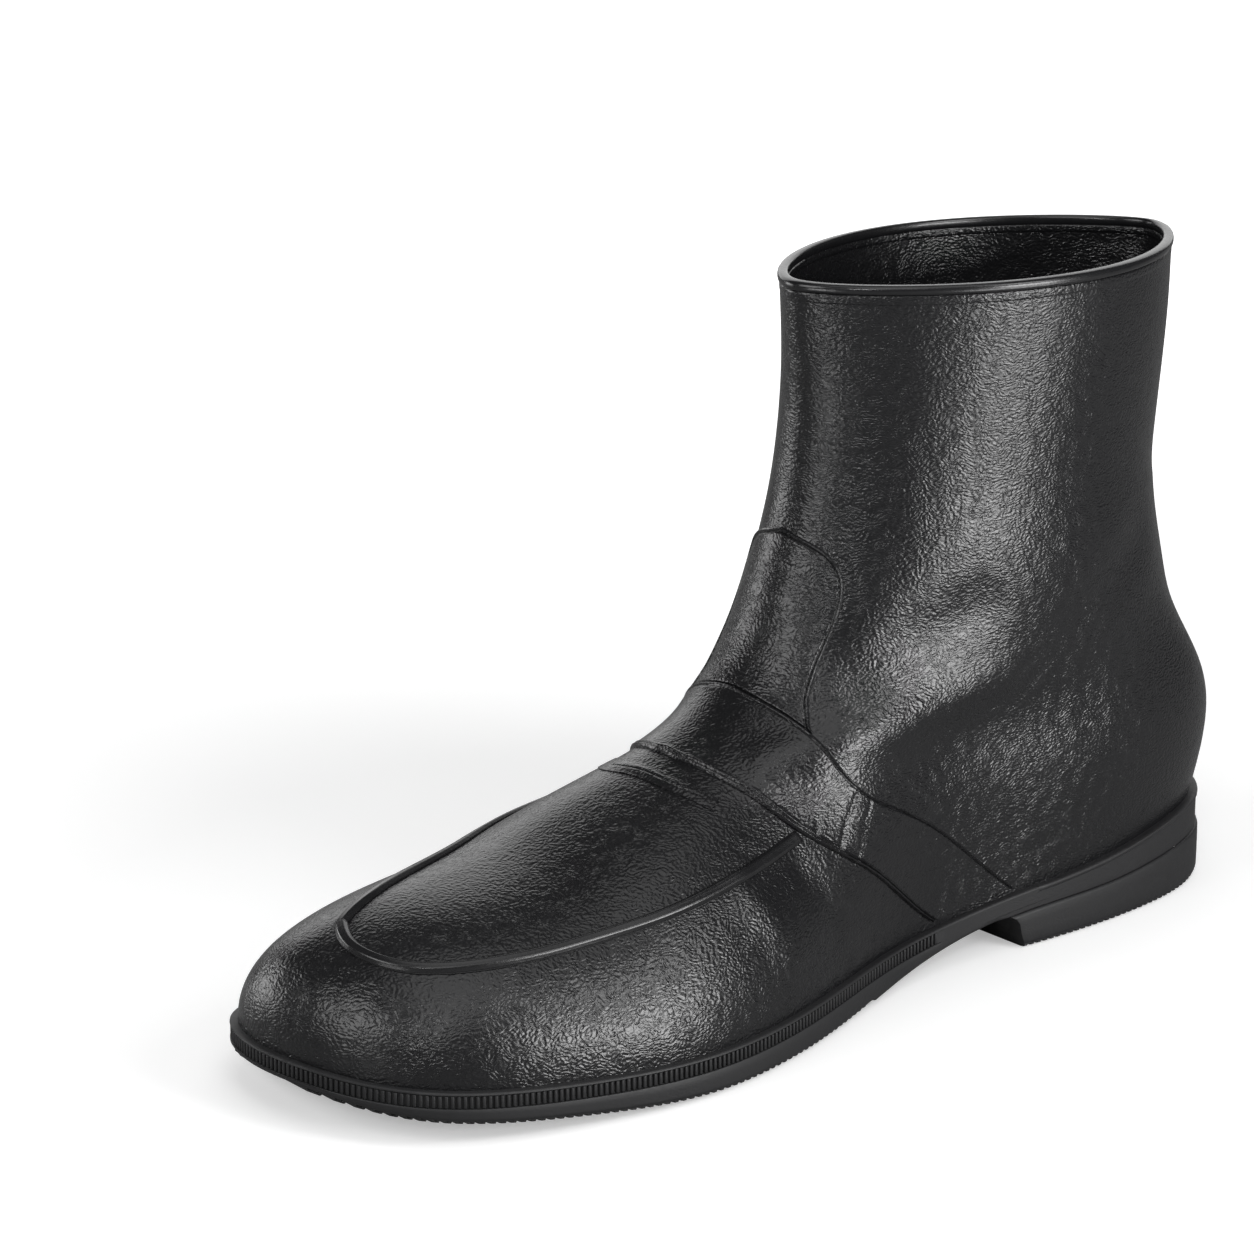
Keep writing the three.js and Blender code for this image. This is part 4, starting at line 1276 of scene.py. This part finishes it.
# Floor
PAPER_SEEN = (0.85, 0.85, 0.85, 1)
PAPER_IN_REFLECTIONS = (0.33, 0.33, 0.33, 1)
bpy.ops.object.select_all(action="DESELECT")
bpy.ops.mesh.primitive_plane_add(size=8)
floor = bpy.context.active_object
floor.name = "studio_floor"
paper = bpy.data.materials.new("white_paper")
paper.use_nodes = True
paper_tree = paper.node_tree
paper_shader = paper_tree.nodes["Principled BSDF"]
paper_shader.inputs["Roughness"].default_value = 0.9
paper_shader.inputs["Specular IOR Level"].default_value = 0.0
seen_by = paper_tree.nodes.new("ShaderNodeLightPath")
paper_colour = paper_tree.nodes.new("ShaderNodeMix")
paper_colour.data_type = "RGBA"
paper_colour.inputs[MIX_FIRST].default_value = PAPER_IN_REFLECTIONS
paper_colour.inputs[MIX_SECOND].default_value = PAPER_SEEN
paper_tree.links.new(seen_by.outputs["Is Camera Ray"], paper_colour.inputs[0])
paper_tree.links.new(paper_colour.outputs[MIX_RESULT], paper_shader.inputs["Base Color"])
paper_place = paper_tree.nodes.new("ShaderNodeTexCoord")
paper_distance = paper_tree.nodes.new("ShaderNodeVectorMath")
paper_distance.operation = "LENGTH"
paper_tree.links.new(paper_place.outputs["Object"], paper_distance.inputs[0])
paper_glow = paper_tree.nodes.new("ShaderNodeMapRange")
paper_glow.inputs["From Min"].default_value = 0.2
paper_glow.inputs["From Max"].default_value = 0.9
paper_glow.inputs["To Min"].default_value = 0.35
paper_glow.inputs["To Max"].default_value = 1.1
paper_tree.links.new(paper_distance.outputs["Value"], paper_glow.inputs["Value"])
paper_tree.links.new(paper_glow.outputs["Result"], paper_shader.inputs["Emission Color"])
paper_tree.links.new(seen_by.outputs["Is Camera Ray"], paper_shader.inputs["Emission Strength"])
floor.data.materials.append(paper)


def direction(azimuth, elevation):
    """Points from the overshoe to a place round it, given in degrees: 0 is ahead of the toe."""
    a = math.radians(azimuth)
    e = math.radians(elevation)
    return Vector((math.sin(a) * math.cos(e), -math.cos(a) * math.cos(e), math.sin(e)))


# Camera
CAMERA_DISTANCE = 1.07
CAMERA_AIM = np.array([-32.3, -16.5, 90.0])
FOCAL_LENGTH = 4090  # in pixels of the photo
PHOTO_WIDTH = 1254
SENSOR_WIDTH = 36
back = direction(50.7, 16.6)
target = Vector(in_row_frame(CAMERA_AIM))
lens = bpy.data.cameras.new("camera")
lens.lens = SENSOR_WIDTH * FOCAL_LENGTH / PHOTO_WIDTH
lens.sensor_width = SENSOR_WIDTH
camera = bpy.data.objects.new("camera", lens)
camera.location = target + back * CAMERA_DISTANCE
camera.rotation_euler = (-back).to_track_quat("-Z", "Y").to_euler()
bpy.context.scene.collection.objects.link(camera)
bpy.context.scene.camera = camera


LAMPS_AIM = Vector((0, 0, 0.08))


def soft_light(name, azimuth, elevation, distance, width, height, power, aim=None):
    """An area light in a direction round the overshoe, turned to it or along its own aim.

    azimuth, elevation: degrees. distance, width, height: metres. power: watts.
    """
    towards = direction(azimuth, elevation)
    light = bpy.data.lights.new(name, "AREA")
    light.shape = "RECTANGLE"
    light.size = width
    light.size_y = height
    light.energy = power
    lamp = bpy.data.objects.new(name, light)
    lamp.visible_camera = False
    lamp.location = LAMPS_AIM + towards * distance
    lamp.rotation_euler = (aim or -towards).to_track_quat("-Z", "Y").to_euler()
    bpy.context.scene.collection.objects.link(lamp)


UPWARDS = Vector((0, 0, 1))
soft_light("low_right_softbox", 108, 7, 1.2, 0.5, 0.44, 10)
soft_light("right_floor_card", 106, -7.6, 0.58, 0.3, 0.36, 2.6, UPWARDS)
soft_light("front_floor_card", 12, -6.0, 0.75, 0.3, 0.36, 3.5, UPWARDS)
soft_light("high_right_softbox", 112, 38, 1.2, 0.4, 0.4, 3.5)
soft_light("side_softbox", 58, 43, 1.2, 0.4, 0.4, 1.3)
soft_light("small_lamp_by_camera", 42, 24, 1.2, 0.12, 0.12, 1.5)
soft_light("front_softbox", -2, 28, 1.2, 0.65, 0.6, 5)
soft_light("left_softbox", -62, 6, 1.2, 0.7, 0.4, 3.2)
soft_light("top_softbox", 75, 75, 1.2, 1.0, 1.0, 3.8)
soft_light("back_glow", 231, 20, 1.8, 2.6, 1.2, 12)

SKY_IN_REFLECTIONS = 0.06
world = bpy.context.scene.world or bpy.data.worlds.new("studio")
bpy.context.scene.world = world
world.use_nodes = True
sky = world.node_tree.nodes["Background"]
sky.inputs["Color"].default_value = (1, 1, 1, 1)
seen = world.node_tree.nodes.new("ShaderNodeLightPath")
strength = world.node_tree.nodes.new("ShaderNodeMapRange")
strength.inputs["To Min"].default_value = SKY_IN_REFLECTIONS
strength.inputs["To Max"].default_value = 1.0
world.node_tree.links.new(seen.outputs["Is Camera Ray"], strength.inputs["Value"])
world.node_tree.links.new(strength.outputs["Result"], sky.inputs["Strength"])
bpy.context.scene.view_settings.view_transform = "Standard"
